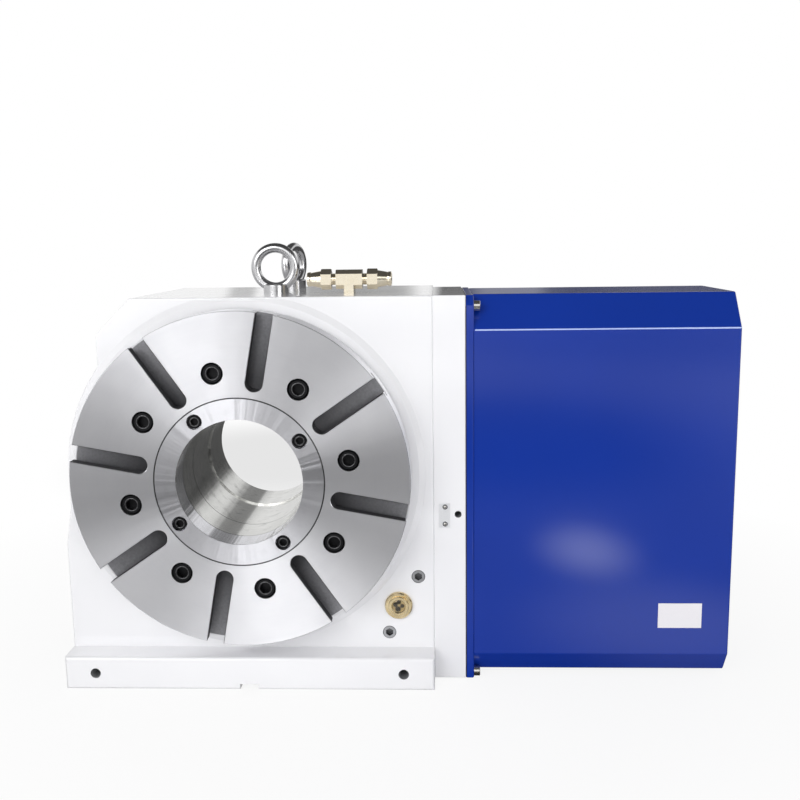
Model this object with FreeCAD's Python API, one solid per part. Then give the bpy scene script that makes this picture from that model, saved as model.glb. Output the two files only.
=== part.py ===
import FreeCAD, Part
import math
import os

# Fourth axis rotary table with a hydraulic brake and a geared motor beside it.
# Millimetres. The origin is the centre of the table face on its turning axis,
# +X points to the motor, +Y to the back and +Z up.

# Clearances
slip_fit = 0.02
running_gap = 0.05
free_gap = 2.0
edge_round = 1.5
edge_break = 0.6

# Table and its T-slots
table_diameter = 320.0
table_thickness = 30.0
table_hub_height = 6.0
table_gap = 2.0
slot_count = 8
slot_rest_angle = -10.5
slot_width = 16.0
slot_throat_depth = 9.0
slot_undercut_width = 26.0
slot_undercut_height = 8.0
slot_land = 7.0
undercut_land = 7.5
table_screw_size = 12.0
table_screw_length = 40.0
table_screw_circle = 210.0
table_screw_lead = 22.0

# Centre bush
bore_diameter = 120.0
bush_wall = 20.0
bush_depth = 28.0
bush_screw_size = 8.0
bush_screw_length = 30.0
bush_screw_count = 4
bush_screw_angle = 34.3

# Spindle and what is stacked on it, from front to back
flange_edge = 13.0
flange_thickness = 18.0
spindle_wall = 25.0
journal_step = 5.0
thread_step = 2.0
rear_bore_step = 1.5
main_bearing_width = 34.0
main_bearing_section = 40.0
main_roller_count = 24
front_spacer_width = 12.0
spacer_wall = 10.0
wheel_width = 30.0
wheel_key_width = 18.0
wheel_key_height = 11.0
wheel_key_seat = 7.0
rear_spacer_width = 8.0
rear_bearing_width = 22.0
rear_bearing_section = 26.0
rear_roller_count = 28
nut_width = 14.0
nut_wall = 10.0
nut_slot_count = 4
spindle_tail = 10.0

# Worm drive
wheel_module = 2.5
wheel_teeth = 90
worm_pitch_diameter = 45.0
worm_turns = 11
worm_shoulder = 88.0
worm_journal_diameter = 30.0
worm_bearing_section = 16.0
worm_bearing_width = 16.0
worm_ball_count = 10
worm_ball_diameter = 9.0
worm_race_wall = 4.4
worm_nut_width = 10.0
wheel_chamber_gap = 4.5
tooth_thinning = 0.5
pressure_angle = 20.0
dedendum_share = 1.25

# Spur gears between worm and motor
spur_module = 2.0
worm_gear_teeth = 60
pinion_teeth = 45
gear_width = 12.0
gear_nut_width = 6.0
gear_wall_gap = 4.0

# Seals
front_seal_section = 8.0
front_seal_width = 10.0
rear_seal_section = 10.0
rear_seal_width = 8.0
worm_seal_width = 8.0
seal_sleeve_wall = 4.0
seal_lip_share = 0.2

# Brake
brake_gap = 0.3
brake_disc_thickness = 4.0
brake_disc_reach = 37.0
friction_ring_thickness = 4.0
friction_ring_gap = 5.0
friction_screw_size = 5.0
friction_screw_count = 6
friction_screw_angle = 30.0
brake_chamber_margin = 4.0
piston_wall = 22.0
piston_length = 21.0
piston_reach = 7.5
piston_seal_size = 3.0
piston_seal_inset = 6.0
piston_room = 6.0

# Housing
centre_height = 210.0
body_width = 362.0
body_depth = 204.0
body_rise = 170.0
drum_diameter = 350.0
shoulder_wall = 139.5
shoulder_chamfer = 34.0
waist_drop = 34.0
waist_end = 70.0
boss_height = 4.0
boss_taper = 6.0
foot_depth = 27.0
foot_height = 33.0
foot_round = 3.0
foot_hole_size = 12.0
foot_hole_depth = 22.0
foot_hole_spacing = 302.0
key_slot_width = 18.0
key_slot_depth = 6.0
casting_wall = 9.0
sump_floor = 12.0
sump_height = 100.0
sump_front_wall = 24.0
sump_depth = 104.0
worm_web = 26.0
oil_passage = 16.0
wire_pocket_depth = 46.0
wire_pocket_wall = 20.0

# Seal carrier, rear cover and worm end cover
carrier_width = 32.0
carrier_screw_size = 6.0
carrier_screw_count = 8
cover_seat_depth = 16.0
cover_recess = 0.5
cover_overlap = 28.0
cover_screw_size = 8.0
cover_screw_length = 20.0
cover_screw_count = 8
end_cover_rim = 15.0
end_cover_thickness = 10.0
end_cover_screw_size = 6.0
end_cover_screw_length = 16.0
end_cover_screw_count = 6

# Adapter plate and motor
adapter_thickness = 31.0
adapter_depth = 164.0
adapter_lift = 1.0
adapter_web = 8.0
adapter_screw_size = 10.0
adapter_screw_length = 40.0
adapter_screw_inset = 10.5
adapter_screw_heights = (120.0, -10.0, -160.0)
side_hole_size = 8.0
side_hole_depth = 16.0
side_hole_rise = 169.0
side_hole_inset = 7.5
motor_flange_size = 130.0
motor_flange_thickness = 16.0
motor_pilot_diameter = 110.0
motor_pilot_height = 5.0
motor_body_size = 122.0
motor_body_length = 165.0
motor_cap_size = 112.0
motor_cap_length = 38.0
motor_corner = 8.0
motor_shaft_diameter = 24.0
motor_bearing_section = 14.0
motor_bearing_width = 14.0
rotor_diameter = 72.0
rotor_gap = 1.0
motor_screw_size = 8.0
motor_screw_pitch = 103.0

# Motor cover
cover_flange_thickness = 8.0
cover_length = 248.0
cover_sheet = 2.0
cover_bend = 3.0
cover_top_drop = 0.5
cover_top_bevel_depth = 25.0
cover_top_bevel_height = 32.0
cover_low_bevel_depth = 13.0
cover_low_bevel_height = 21.0
cover_low_lift = 4.5
cover_corner_cut = 9.0
lid_screw_size = 6.0
lid_screw_length = 18.0
lid_top_inset = 8.5
lid_top_drop = 10.0
lid_low_inset = 5.5
lid_low_rise = 5.0

# Fittings on the top face
eye_ring_diameter = 39.0
eye_section = 9.5
eye_collar_diameter = 25.0
eye_collar_height = 9.4
eye_neck_height = 12.0
eye_neck_diameter = 17.0
eye_height = 50.0
eye_thread = 12.0
eye_shank = 20.0
eye_places = ((24.0, 102.0, 0.0), (26.5, 214.0, 70.0))
tee_x = 99.0
tee_y = 93.0
tee_rise = 13.8
tee_block = 18.6
tee_bevel = 3.9
tee_half_length = 13.0
tee_stem = 10.4
tee_neck_diameter = 11.0
tee_neck_length = 4.7
tee_thread = 10.0
tee_shank = 9.0
tube_diameter = 6.0
tube_room = 0.2
tee_drilling = 4.0
nut_across_flats = 17.6
nut_length = 10.3
nut_cone_length = 9.0
nut_cone_end = 13.8
sleeve_diameter = 13.2
sleeve_length = 5.0
oil_channel = 8.0
oil_channel_height = 98.0

# Sight glass, plugs and plates, at heights above the base
glass_x = 146.0
glass_rise = 77.0
glass_rim_diameter = 27.0
glass_rim_height = 4.0
glass_step_diameter = 20.0
glass_step_height = 1.5
glass_thread = 21.0
glass_thread_length = 14.0
glass_window_diameter = 13.0
glass_window_thickness = 3.0
glass_window_drop = 1.2
glass_notch_angle = 60.0
plug_diameter = 13.2
plug_length = 12.0
plug_socket = 7.0
plug_places = ((165.5, 106.0), (136.5, 48.6))
nameplate_size = (10.7, 24.0)
nameplate_place = (191.4, 168.0)
label_size = (42.0, 25.0)
label_place = (420.0, 66.5)
plate_thickness = 0.6
gland_inset = 32.0
gland_rise = 60.0
gland_thread = 20.0
gland_hex = 24.0
gland_hex_height = 7.0
gland_nut_height = 13.0
gland_bore = 10.0
gland_collar_height = 5.0

# Screw proportions, as shares of the thread size
screw_head_share = 0.75
screw_head_extra = 0.35
screw_room = 1.0
screw_clearance_share = 0.5625
screw_rim_share = 0.08
tap_drill_share = 0.425
socket_share = 0.462
socket_depth_share = 0.55

# Roller bearing proportions, as shares of the section and of the width
race_wall_share = 0.25
rib_share = 0.06
rib_width_share = 0.11

# Places along the turning axis
bore_radius = bore_diameter / 2
table_radius = table_diameter / 2
bush_radius = bore_radius + bush_wall
hub_back = table_thickness + table_hub_height
flange_back = hub_back + flange_thickness
main_bearing_back = flange_back + main_bearing_width
wheel_front = main_bearing_back + front_spacer_width
wheel_back = wheel_front + wheel_width
rear_bearing_front = wheel_back + rear_spacer_width
rear_bearing_back = rear_bearing_front + rear_bearing_width
friction_back = rear_bearing_back + friction_ring_thickness
disc_front = friction_back + brake_gap
disc_back = disc_front + brake_disc_thickness
piston_front = disc_back + brake_gap
nut_back = disc_back + nut_width
spindle_end = nut_back + spindle_tail
carrier_front = hub_back + free_gap
carrier_back = flange_back + free_gap
boss_front = table_thickness + table_gap
body_front = boss_front + boss_height
body_back = body_front + body_depth
cover_seat = body_back - cover_seat_depth
plug_front = piston_front + piston_reach
rear_lip_front = nut_back + free_gap / 2

# Radii about the turning axis
flange_radius = table_screw_circle / 2 + flange_edge
main_journal = bore_radius + spindle_wall
rear_journal = main_journal - journal_step
nut_thread = rear_journal - thread_step
rear_bore = bore_radius - rear_bore_step
main_bearing_radius = main_journal + main_bearing_section
rear_bearing_radius = rear_journal + rear_bearing_section
wheel_pitch_radius = wheel_module * wheel_teeth / 2
wheel_chamber = wheel_pitch_radius + wheel_module + wheel_chamber_gap
carrier_radius = flange_radius + carrier_width
carrier_lip = flange_radius + free_gap / 2
friction_inner = rear_journal + nut_wall + friction_ring_gap
disc_radius = rear_journal + brake_disc_reach
friction_radius = disc_radius + free_gap
brake_chamber = disc_radius + brake_chamber_margin
nut_radius = nut_thread + nut_wall
piston_outer = disc_radius
piston_inner = piston_outer - piston_wall
rear_opening = nut_thread - free_gap
rear_cover_radius = brake_chamber + cover_overlap
drum_radius = drum_diameter / 2
boss_radius = drum_radius - edge_round

# Worm, gears and motor
worm_y = (wheel_front + wheel_back) / 2
worm_pitch_radius = worm_pitch_diameter / 2
worm_z = -(wheel_pitch_radius + worm_pitch_radius)
worm_root = worm_pitch_radius - dedendum_share * wheel_module
worm_tip = worm_pitch_radius + wheel_module
worm_pitch = math.pi * wheel_module
worm_journal = worm_journal_diameter / 2
worm_bearing_radius = worm_journal + worm_bearing_section
worm_bearing_end = worm_shoulder + worm_bearing_width
seal_sleeve = worm_journal + seal_sleeve_wall
side = body_width / 2
base = -centre_height
adapter_end = side + adapter_thickness
adapter_back = body_front + adapter_depth
gear_start = side + gear_wall_gap
gear_end = gear_start + gear_width
gear_shaft_end = gear_end + gear_nut_width
worm_gear_radius = spur_module * worm_gear_teeth / 2
pinion_radius = spur_module * pinion_teeth / 2
motor_z = worm_z + worm_gear_radius + pinion_radius
motor_pilot = motor_pilot_diameter / 2
motor_shaft = motor_shaft_diameter / 2
motor_flange_end = adapter_end + motor_flange_thickness
motor_body_end = motor_flange_end + motor_body_length
motor_cap_end = motor_body_end + motor_cap_length
cover_inner_start = adapter_end + cover_flange_thickness
cover_end = cover_inner_start + cover_length
cover_top = body_rise - cover_top_drop
cover_bottom = base + adapter_lift
glass_height = base + glass_rise
gland_height = base + gland_rise

origin = FreeCAD.Vector(0, 0, 0)
along_x = FreeCAD.Vector(1, 0, 0)
along_y = FreeCAD.Vector(0, 1, 0)
along_z = FreeCAD.Vector(0, 0, 1)


def cylinder_x(radius, start, end, y, z):
    return Part.makeCylinder(radius, end - start, FreeCAD.Vector(start, y, z), along_x)


def cylinder_y(radius, start, end, x=0.0, z=0.0):
    return Part.makeCylinder(radius, end - start, FreeCAD.Vector(x, start, z), along_y)


def cylinder_z(radius, start, end, x, y):
    return Part.makeCylinder(radius, end - start, FreeCAD.Vector(x, y, start), along_z)


def block(x0, x1, y0, y1, z0, z1):
    return Part.makeBox(x1 - x0, y1 - y0, z1 - z0, FreeCAD.Vector(x0, y0, z0))


def turned_piece(profile):
    """Solid of revolution about Y from corners of (radius, y)."""
    corners = [FreeCAD.Vector(radius, y, 0) for radius, y in profile]
    outline = Part.makePolygon(corners + corners[:1])
    return Part.Face(outline).revolve(origin, along_y, 360)


def ring(inner, outer, start, end):
    return turned_piece([(inner, start), (outer, start), (outer, end), (inner, end)])


def swung(shape, angle):
    """Copy turned about Y by degrees from +X towards +Z."""
    copy = shape.copy()
    copy.rotate(origin, along_y, -angle)
    return copy


def moved(shape, x, y, z):
    copy = shape.copy()
    copy.translate(FreeCAD.Vector(x, y, z))
    return copy


def circle_of(shape, count, radius, first_angle):
    """Copies of a shape on a circle about Y, each turned to its place."""
    at_radius = moved(shape, radius, 0, 0)
    return [swung(at_radius, first_angle + 360.0 * n / count) for n in range(count)]


def lie_along_x(shape, y, z):
    """Takes a piece made along Y to an axis along X, with its Y places as X places."""
    copy = shape.copy()
    copy.rotate(origin, along_z, -90)
    return moved(copy, 0, y, z)


def point_to_motor(shape, x, y, z):
    """Turns a screw made along Y so that its shank points to -X, and puts it in place."""
    copy = shape.copy()
    copy.rotate(origin, along_z, 90)
    return moved(copy, x, y, z)


def hexagon_y(corner_radius, start, end):
    corners = []
    for n in range(6):
        angle = math.radians(60.0 * n + 30.0)
        across = corner_radius * math.cos(angle)
        corners.append(FreeCAD.Vector(across, start, corner_radius * math.sin(angle)))
    face = Part.Face(Part.makePolygon(corners + corners[:1]))
    return face.extrude(FreeCAD.Vector(0, end - start, 0))


def rounded_outline(corners, radius):
    """Closed wire through corners in one plane, with every corner rounded."""
    edges = []
    count = len(corners)
    starts = []
    ends = []
    middles = []
    for n in range(count):
        here = corners[n]
        before = (corners[n - 1] - here).normalize()
        after = (corners[(n + 1) % count] - here).normalize()
        half = before.getAngle(after) / 2
        reach = radius / math.tan(half)
        centre = here + (before + after).normalize() * (radius / math.sin(half))
        starts.append(here + before * reach)
        ends.append(here + after * reach)
        middles.append(centre + (here - centre).normalize() * radius)
    for n in range(count):
        edges.append(Part.Arc(starts[n], middles[n], ends[n]).toShape())
        edges.append(Part.LineSegment(ends[n], starts[(n + 1) % count]).toShape())
    return Part.Wire(edges)


def head_radius(size):
    return size * screw_head_share + screw_head_extra


def socket_screw(size, length):
    """Socket head screw along Y: head towards -Y, underside of the head at the origin."""
    radius = head_radius(size)
    rim = size * screw_rim_share
    head = turned_piece([(0, -size), (radius - rim, -size), (radius, rim - size), (radius, 0), (0, 0)])
    shank = cylinder_y(size / 2, 0, length)
    socket = hexagon_y(size * socket_share, -size, -size * (1 - socket_depth_share))
    return head.fuse(shank).cut(socket).removeSplitter()


def screw_seat(size, depth, length):
    """Cutter for a counterbore of the given depth and a clearance hole, along Y."""
    head = cylinder_y(head_radius(size) + screw_room, -depth, 0)
    return head.fuse(cylinder_y(size * screw_clearance_share, 0, length))


def tapped_hole(size, length):
    return cylinder_y(size / 2 + slip_fit, 0, length)


def gear_outline(module, teeth, phase, thinning, y):
    """Closed tooth outline about Y; the first tooth is centred on the phase, in degrees."""
    pitch_radius = module * teeth / 2
    base_radius = pitch_radius * math.cos(math.radians(pressure_angle))
    radii = (pitch_radius - dedendum_share * module, pitch_radius, pitch_radius + module)
    half_at_pitch = (math.pi * module / 2 - thinning) / (2 * pitch_radius)

    def involute(radius):
        angle = math.acos(min(1.0, base_radius / radius))
        return math.tan(angle) - angle

    halves = [half_at_pitch + involute(pitch_radius) - involute(radius) for radius in radii]
    flank = [(-half, radius) for half, radius in zip(halves, radii)]
    tooth = flank + [(-half, radius) for half, radius in reversed(flank)]
    corners = []
    for n in range(teeth):
        centre = math.radians(phase) + 2 * math.pi * n / teeth
        for half, radius in tooth:
            angle = centre + half
            corners.append(FreeCAD.Vector(radius * math.cos(angle), y, radius * math.sin(angle)))
    return Part.makePolygon(corners + corners[:1])


# Table, its slots and the centre bush


def slot_cutter():
    """T-slot along +X, open at the rim, with a broken edge at the table face."""
    half = slot_width / 2
    inner_centre = bush_radius + slot_land + half
    outside = table_radius + slot_width
    throat = block(inner_centre, outside, -free_gap, slot_throat_depth, -half, half)
    throat = throat.fuse(cylinder_y(half, -free_gap, slot_throat_depth, inner_centre))
    slot_floor = slot_throat_depth + slot_undercut_height
    wide = slot_undercut_width / 2
    wide_centre = bush_radius + undercut_land + wide
    undercut = block(wide_centre, outside, slot_throat_depth, slot_floor, -wide, wide)
    undercut = undercut.fuse(cylinder_y(wide, slot_throat_depth, slot_floor, wide_centre))
    top = half + edge_break
    corners = [
        FreeCAD.Vector(inner_centre, 0, -top), FreeCAD.Vector(inner_centre, edge_break, -half),
        FreeCAD.Vector(inner_centre, edge_break, half), FreeCAD.Vector(inner_centre, 0, top),
    ]
    bevel = Part.Face(Part.makePolygon(corners + corners[:1]))
    bevel = bevel.extrude(FreeCAD.Vector(outside - inner_centre, 0, 0))
    round_end = Part.makeCone(top, half, edge_break, FreeCAD.Vector(inner_centre, 0, 0), along_y)
    return throat.fuse([undercut, bevel, round_end])


def table_screw_angle():
    return slot_rest_angle + table_screw_lead


def make_faceplate():
    seat = bush_radius + slip_fit
    plate = turned_piece([
        (seat + edge_break, 0), (table_radius - edge_break, 0), (table_radius, edge_break),
        (table_radius, table_thickness - edge_break), (table_radius - edge_break, table_thickness),
        (flange_radius, table_thickness), (flange_radius, hub_back), (seat, hub_back), (seat, edge_break),
    ])
    cutters = circle_of(slot_cutter(), slot_count, 0, slot_rest_angle)
    seat_depth = table_screw_size + free_gap / 2
    hole = moved(screw_seat(table_screw_size, seat_depth + free_gap, hub_back), 0, seat_depth, 0)
    cutters += circle_of(hole, slot_count, table_screw_circle / 2, table_screw_angle())
    return plate.cut(cutters)


def make_faceplate_screws():
    screw = moved(socket_screw(table_screw_size, table_screw_length), 0, table_screw_size + free_gap / 2, 0)
    return circle_of(screw, slot_count, table_screw_circle / 2, table_screw_angle())


def bush_screw_radius():
    return bore_radius + bush_wall / 2


def make_centre_bush():
    bush = turned_piece([
        (bore_radius, 0), (bush_radius - edge_break, 0), (bush_radius, edge_break),
        (bush_radius, bush_depth), (bore_radius, bush_depth),
    ])
    seat_depth = bush_screw_size + free_gap / 2
    hole = moved(screw_seat(bush_screw_size, seat_depth + free_gap, bush_depth), 0, seat_depth, 0)
    return bush.cut(circle_of(hole, bush_screw_count, bush_screw_radius(), bush_screw_angle))


def make_bush_screws():
    screw = moved(socket_screw(bush_screw_size, bush_screw_length), 0, bush_screw_size + free_gap / 2, 0)
    return circle_of(screw, bush_screw_count, bush_screw_radius(), bush_screw_angle)


# Spindle and the pieces stacked on it


def wheel_key_block(grow):
    half = wheel_key_width / 2 + grow
    low = main_journal - wheel_key_seat - grow
    high = low + wheel_key_height + 2 * grow
    return block(low, high, wheel_front, wheel_back, -half, half)


def make_spindle():
    body = turned_piece([
        (bore_radius, bush_depth), (bush_radius, bush_depth), (bush_radius, hub_back),
        (flange_radius, hub_back), (flange_radius, flange_back), (main_journal, flange_back),
        (main_journal, wheel_back), (rear_journal, wheel_back), (rear_journal, disc_back),
        (nut_thread, disc_back), (nut_thread, spindle_end), (rear_bore, spindle_end),
        (rear_bore, rear_bearing_front), (bore_radius, rear_bearing_front),
    ])
    table_depth = table_screw_length + table_screw_size + free_gap
    hole = moved(tapped_hole(table_screw_size, table_depth - hub_back), 0, hub_back, 0)
    cutters = circle_of(hole, slot_count, table_screw_circle / 2, table_screw_angle())
    bush_reach = bush_screw_length + bush_screw_size + free_gap
    hole = moved(tapped_hole(bush_screw_size, bush_reach - bush_depth), 0, bush_depth, 0)
    cutters += circle_of(hole, bush_screw_count, bush_screw_radius(), bush_screw_angle)
    cutters.append(wheel_key_block(slip_fit))
    return body.cut(cutters)


def roller_bearing(bore, section, start, outer_start, end, count):
    """Inner ring with two ribs, rollers and plain outer ring of a roller bearing about Y."""
    wall = section * race_wall_share
    rib = section * rib_share
    rib_width = (end - outer_start) * rib_width_share
    race = bore + wall
    outer_race = bore + section - wall
    inner_ring = turned_piece([
        (bore + slip_fit, start), (race + rib, start), (race + rib, outer_start + rib_width),
        (race, outer_start + rib_width), (race, end - rib_width), (race + rib, end - rib_width),
        (race + rib, end), (bore + slip_fit, end),
    ])
    outer_ring = ring(outer_race, bore + section, outer_start, end)
    radius = (outer_race - race) / 2 - running_gap
    roller = cylinder_y(radius, outer_start + rib_width + running_gap, end - rib_width - running_gap)
    rollers = circle_of(roller, count, bore + section / 2, 0)
    return inner_ring, rollers, outer_ring


def make_front_spacer():
    return ring(main_journal + slip_fit, main_journal + spacer_wall, main_bearing_back, wheel_front)


def make_worm_wheel():
    twist = math.degrees(wheel_width * wheel_module / worm_pitch_diameter / wheel_pitch_radius)
    phase = 90.0 - 180.0 / wheel_teeth
    front = gear_outline(wheel_module, wheel_teeth, phase + twist / 2, tooth_thinning, wheel_front)
    back = gear_outline(wheel_module, wheel_teeth, phase - twist / 2, tooth_thinning, wheel_back)
    rim = Part.makeLoft([front, back], True, True)
    hole = cylinder_y(main_journal + slip_fit, wheel_front, wheel_back)
    return rim.cut([hole, wheel_key_block(slip_fit)])


def make_rear_spacer():
    return ring(rear_journal + slip_fit, rear_journal + spacer_wall, wheel_back, rear_bearing_front)


def make_disc_spacer():
    return ring(rear_journal + slip_fit, rear_journal + nut_wall, rear_bearing_back, disc_front)


def make_brake_disc():
    return ring(rear_journal + slip_fit, disc_radius, disc_front, disc_back)


def make_spindle_nut():
    nut = ring(nut_thread + slip_fit, nut_radius, disc_back, nut_back)
    notch = nut_wall / 3
    slot = block(nut_radius - notch, nut_radius + notch, disc_back + nut_width / 2, nut_back, -notch, notch)
    return nut.cut(circle_of(slot, nut_slot_count, 0, 180.0 / nut_slot_count))


# Seals and bearings' carriers


def make_seal_carrier():
    pocket = flange_radius + front_seal_section
    pocket_end = carrier_front + front_seal_width
    body = turned_piece([
        (pocket, carrier_front), (carrier_radius, carrier_front), (carrier_radius, carrier_back),
        (carrier_lip, carrier_back), (carrier_lip, pocket_end), (pocket, pocket_end),
    ])
    seat = moved(screw_seat(carrier_screw_size, carrier_screw_size, carrier_back), 0, carrier_front, 0)
    seat = moved(seat, 0, carrier_screw_size, 0)
    return body.cut(circle_of(seat, carrier_screw_count, carrier_screw_radius(), 0))


def carrier_screw_radius():
    return (main_bearing_radius + carrier_radius) / 2


def make_carrier_screws():
    length = carrier_back - carrier_front + carrier_screw_size
    screw = moved(socket_screw(carrier_screw_size, length), 0, carrier_front + carrier_screw_size, 0)
    return circle_of(screw, carrier_screw_count, carrier_screw_radius(), 0)


def make_front_seal():
    outer = flange_radius + front_seal_section - slip_fit
    lip = flange_radius + running_gap
    middle = flange_radius + front_seal_section / 2
    end = carrier_front + front_seal_width
    thin = front_seal_width * seal_lip_share
    return turned_piece([
        (lip, carrier_front), (outer, carrier_front), (outer, end), (middle, end),
        (middle, carrier_front + 2 * thin), (lip, carrier_front + thin),
    ])


def make_rear_seal():
    start = rear_lip_front
    end = start + rear_seal_width
    outer = nut_thread + rear_seal_section - slip_fit
    lip = nut_thread + running_gap
    middle = nut_thread + rear_seal_section / 2
    thin = rear_seal_width * seal_lip_share
    return turned_piece([
        (middle, start), (outer, start), (outer, end),
        (lip, end), (lip, end - thin), (middle, end - 2 * thin),
    ])


# Brake


def friction_screw_radius():
    return (rear_bearing_radius + friction_radius) / 2


def countersunk_cone(grow):
    radius = friction_screw_size + grow
    return Part.makeCone(friction_screw_size / 2 + grow, radius, friction_screw_size / 2, origin, along_y)


def make_friction_ring():
    body = ring(friction_inner, friction_radius, rear_bearing_back, friction_back)
    head_start = friction_back - brake_gap - friction_screw_size / 2
    seat = moved(countersunk_cone(slip_fit), 0, head_start, 0)
    seat = seat.fuse(cylinder_y(friction_screw_size + slip_fit, friction_back - brake_gap, friction_back))
    seat = seat.fuse(cylinder_y(friction_screw_size / 2 + slip_fit, rear_bearing_back, head_start))
    return body.cut(circle_of(seat, friction_screw_count, friction_screw_radius(), friction_screw_angle))


def friction_screw_start():
    return rear_bearing_back - 2 * friction_screw_size


def make_friction_screws():
    head_start = friction_back - brake_gap - friction_screw_size / 2
    screw = moved(countersunk_cone(0), 0, head_start, 0)
    screw = screw.fuse(cylinder_y(friction_screw_size / 2, friction_screw_start(), head_start))
    return circle_of(screw, friction_screw_count, friction_screw_radius(), friction_screw_angle)


def piston_seal_start():
    return piston_front + piston_length - piston_seal_inset - piston_seal_size


def make_brake_piston():
    end = piston_front + piston_length
    body = ring(piston_inner + running_gap, piston_outer - running_gap, piston_front, end)
    groove_start = piston_seal_start()
    groove_end = groove_start + piston_seal_size
    outer_groove = ring(piston_outer - piston_seal_size, piston_outer, groove_start, groove_end)
    inner_groove = ring(piston_inner, piston_inner + piston_seal_size, groove_start, groove_end)
    return body.cut([outer_groove, inner_groove])


def make_piston_seals():
    start = piston_seal_start()
    end = start + piston_seal_size
    outer = ring(piston_outer - piston_seal_size, piston_outer - running_gap / 2, start, end)
    inner = ring(piston_inner + running_gap / 2, piston_inner + piston_seal_size, start, end)
    return [outer, inner]


def channel_radius():
    return math.hypot(tee_x, oil_channel_height)


def channel_angle():
    return math.degrees(math.atan2(oil_channel_height, tee_x))


def make_rear_cover():
    back = body_back - cover_recess
    seal_seat = nut_thread + rear_seal_section
    body = turned_piece([
        (nut_radius + free_gap, plug_front), (brake_chamber - slip_fit, plug_front),
        (brake_chamber - slip_fit, cover_seat), (rear_cover_radius - slip_fit, cover_seat),
        (rear_cover_radius - slip_fit, back - edge_break), (rear_cover_radius - edge_break, back),
        (rear_opening + edge_break, back), (rear_opening, back - edge_break),
        (rear_opening, spindle_end + free_gap / 2), (seal_seat, spindle_end + free_gap / 2),
        (seal_seat, rear_lip_front), (nut_radius + free_gap, rear_lip_front),
    ])
    groove_end = piston_front + piston_length + piston_room
    groove = ring(piston_inner, piston_outer, plug_front, groove_end)
    middle = (piston_inner + piston_outer) / 2
    small = oil_channel / 2
    turn_place = cover_seat + cover_seat_depth / 2
    inward = cylinder_x(small, middle, channel_radius(), turn_place, 0)
    drill = cylinder_y(small, cover_seat, turn_place, channel_radius())
    drill = drill.fuse([inward, cylinder_y(small, groove_end, turn_place, middle)])
    depth = cover_screw_size + free_gap / 2
    cutters = [groove, swung(drill, channel_angle())]
    hole = cylinder_y(cover_screw_size * screw_clearance_share, cover_seat, back, cover_screw_radius())
    head = cylinder_y(head_radius(cover_screw_size) + screw_room, back - depth, back, cover_screw_radius())
    cutters += circle_of(hole.fuse(head), cover_screw_count, 0, 180.0 / cover_screw_count)
    return body.cut(cutters)


def cover_screw_radius():
    return brake_chamber + cover_overlap / 2


def make_rear_cover_screws():
    screw = socket_screw(cover_screw_size, cover_screw_length)
    screw.rotate(origin, along_x, 180)
    screw = moved(screw, 0, body_back - cover_recess - cover_screw_size - free_gap / 2, 0)
    return circle_of(screw, cover_screw_count, cover_screw_radius(), 180.0 / cover_screw_count)


# Worm and its bearings


def make_worm_shaft():
    nut_start = -worm_bearing_end - worm_nut_width
    shaft = turned_piece([
        (0, nut_start), (worm_journal, nut_start), (worm_journal, -worm_shoulder),
        (worm_root, -worm_shoulder), (worm_root, worm_shoulder), (worm_journal, worm_shoulder),
        (worm_journal, gear_shaft_end), (0, gear_shaft_end),
    ])
    shaft = lie_along_x(shaft, 0, 0)
    start = -worm_pitch * worm_turns / 2
    path = Part.Wire(Part.makeHelix(worm_pitch, worm_pitch * worm_turns, worm_root))
    path.translate(FreeCAD.Vector(0, 0, start))
    slope = math.tan(math.radians(pressure_angle))
    sink = worm_root - edge_break
    half_at_pitch = worm_pitch / 4 - tooth_thinning / 2
    low = half_at_pitch + (worm_pitch_radius - sink) * slope
    high = half_at_pitch - wheel_module * slope
    corners = [
        FreeCAD.Vector(sink, 0, start - low), FreeCAD.Vector(worm_tip, 0, start - high),
        FreeCAD.Vector(worm_tip, 0, start + high), FreeCAD.Vector(sink, 0, start + low),
    ]
    thread = path.makePipeShell([Part.makePolygon(corners + corners[:1])], True, True)
    thread.rotate(origin, along_y, 90)
    return moved(shaft.fuse(thread), 0, worm_y, worm_z)


def worm_bearing_parts(start):
    """Inner ring, balls and outer ring about Y, from start to start plus the width."""
    end = start + worm_bearing_width
    middle = worm_journal + worm_bearing_section / 2
    ball = worm_ball_diameter / 2
    centre = FreeCAD.Vector(0, (start + end) / 2, 0)
    groove = Part.makeTorus(middle, ball + running_gap, centre, along_y)
    inner = ring(worm_journal + slip_fit, worm_journal + worm_race_wall, start, end).cut(groove)
    outer = ring(worm_bearing_radius - worm_race_wall, worm_bearing_radius, start, end).cut(groove)
    one = Part.makeSphere(ball, centre)
    return inner, circle_of(one, worm_ball_count, middle, 0), outer


def make_worm_bearings():
    inners = []
    balls = []
    outers = []
    for start in (-worm_bearing_end, worm_shoulder):
        inner, some, outer = worm_bearing_parts(start)
        inners.append(lie_along_x(inner, worm_y, worm_z))
        balls += [lie_along_x(one, worm_y, worm_z) for one in some]
        outers.append(lie_along_x(outer, worm_y, worm_z))
    return inners, balls, outers


def make_worm_nut():
    outer = worm_journal + worm_bearing_section / 2
    nut = ring(worm_journal + slip_fit, outer, -worm_bearing_end - worm_nut_width, -worm_bearing_end)
    return lie_along_x(nut, worm_y, worm_z)


def make_gear_spacer():
    spacer = ring(worm_journal + slip_fit, seal_sleeve, worm_bearing_end, gear_start)
    return lie_along_x(spacer, worm_y, worm_z)


def make_worm_seal():
    seal = ring(seal_sleeve + running_gap, worm_bearing_radius, side - worm_seal_width, side)
    return lie_along_x(seal, worm_y, worm_z)


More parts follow.
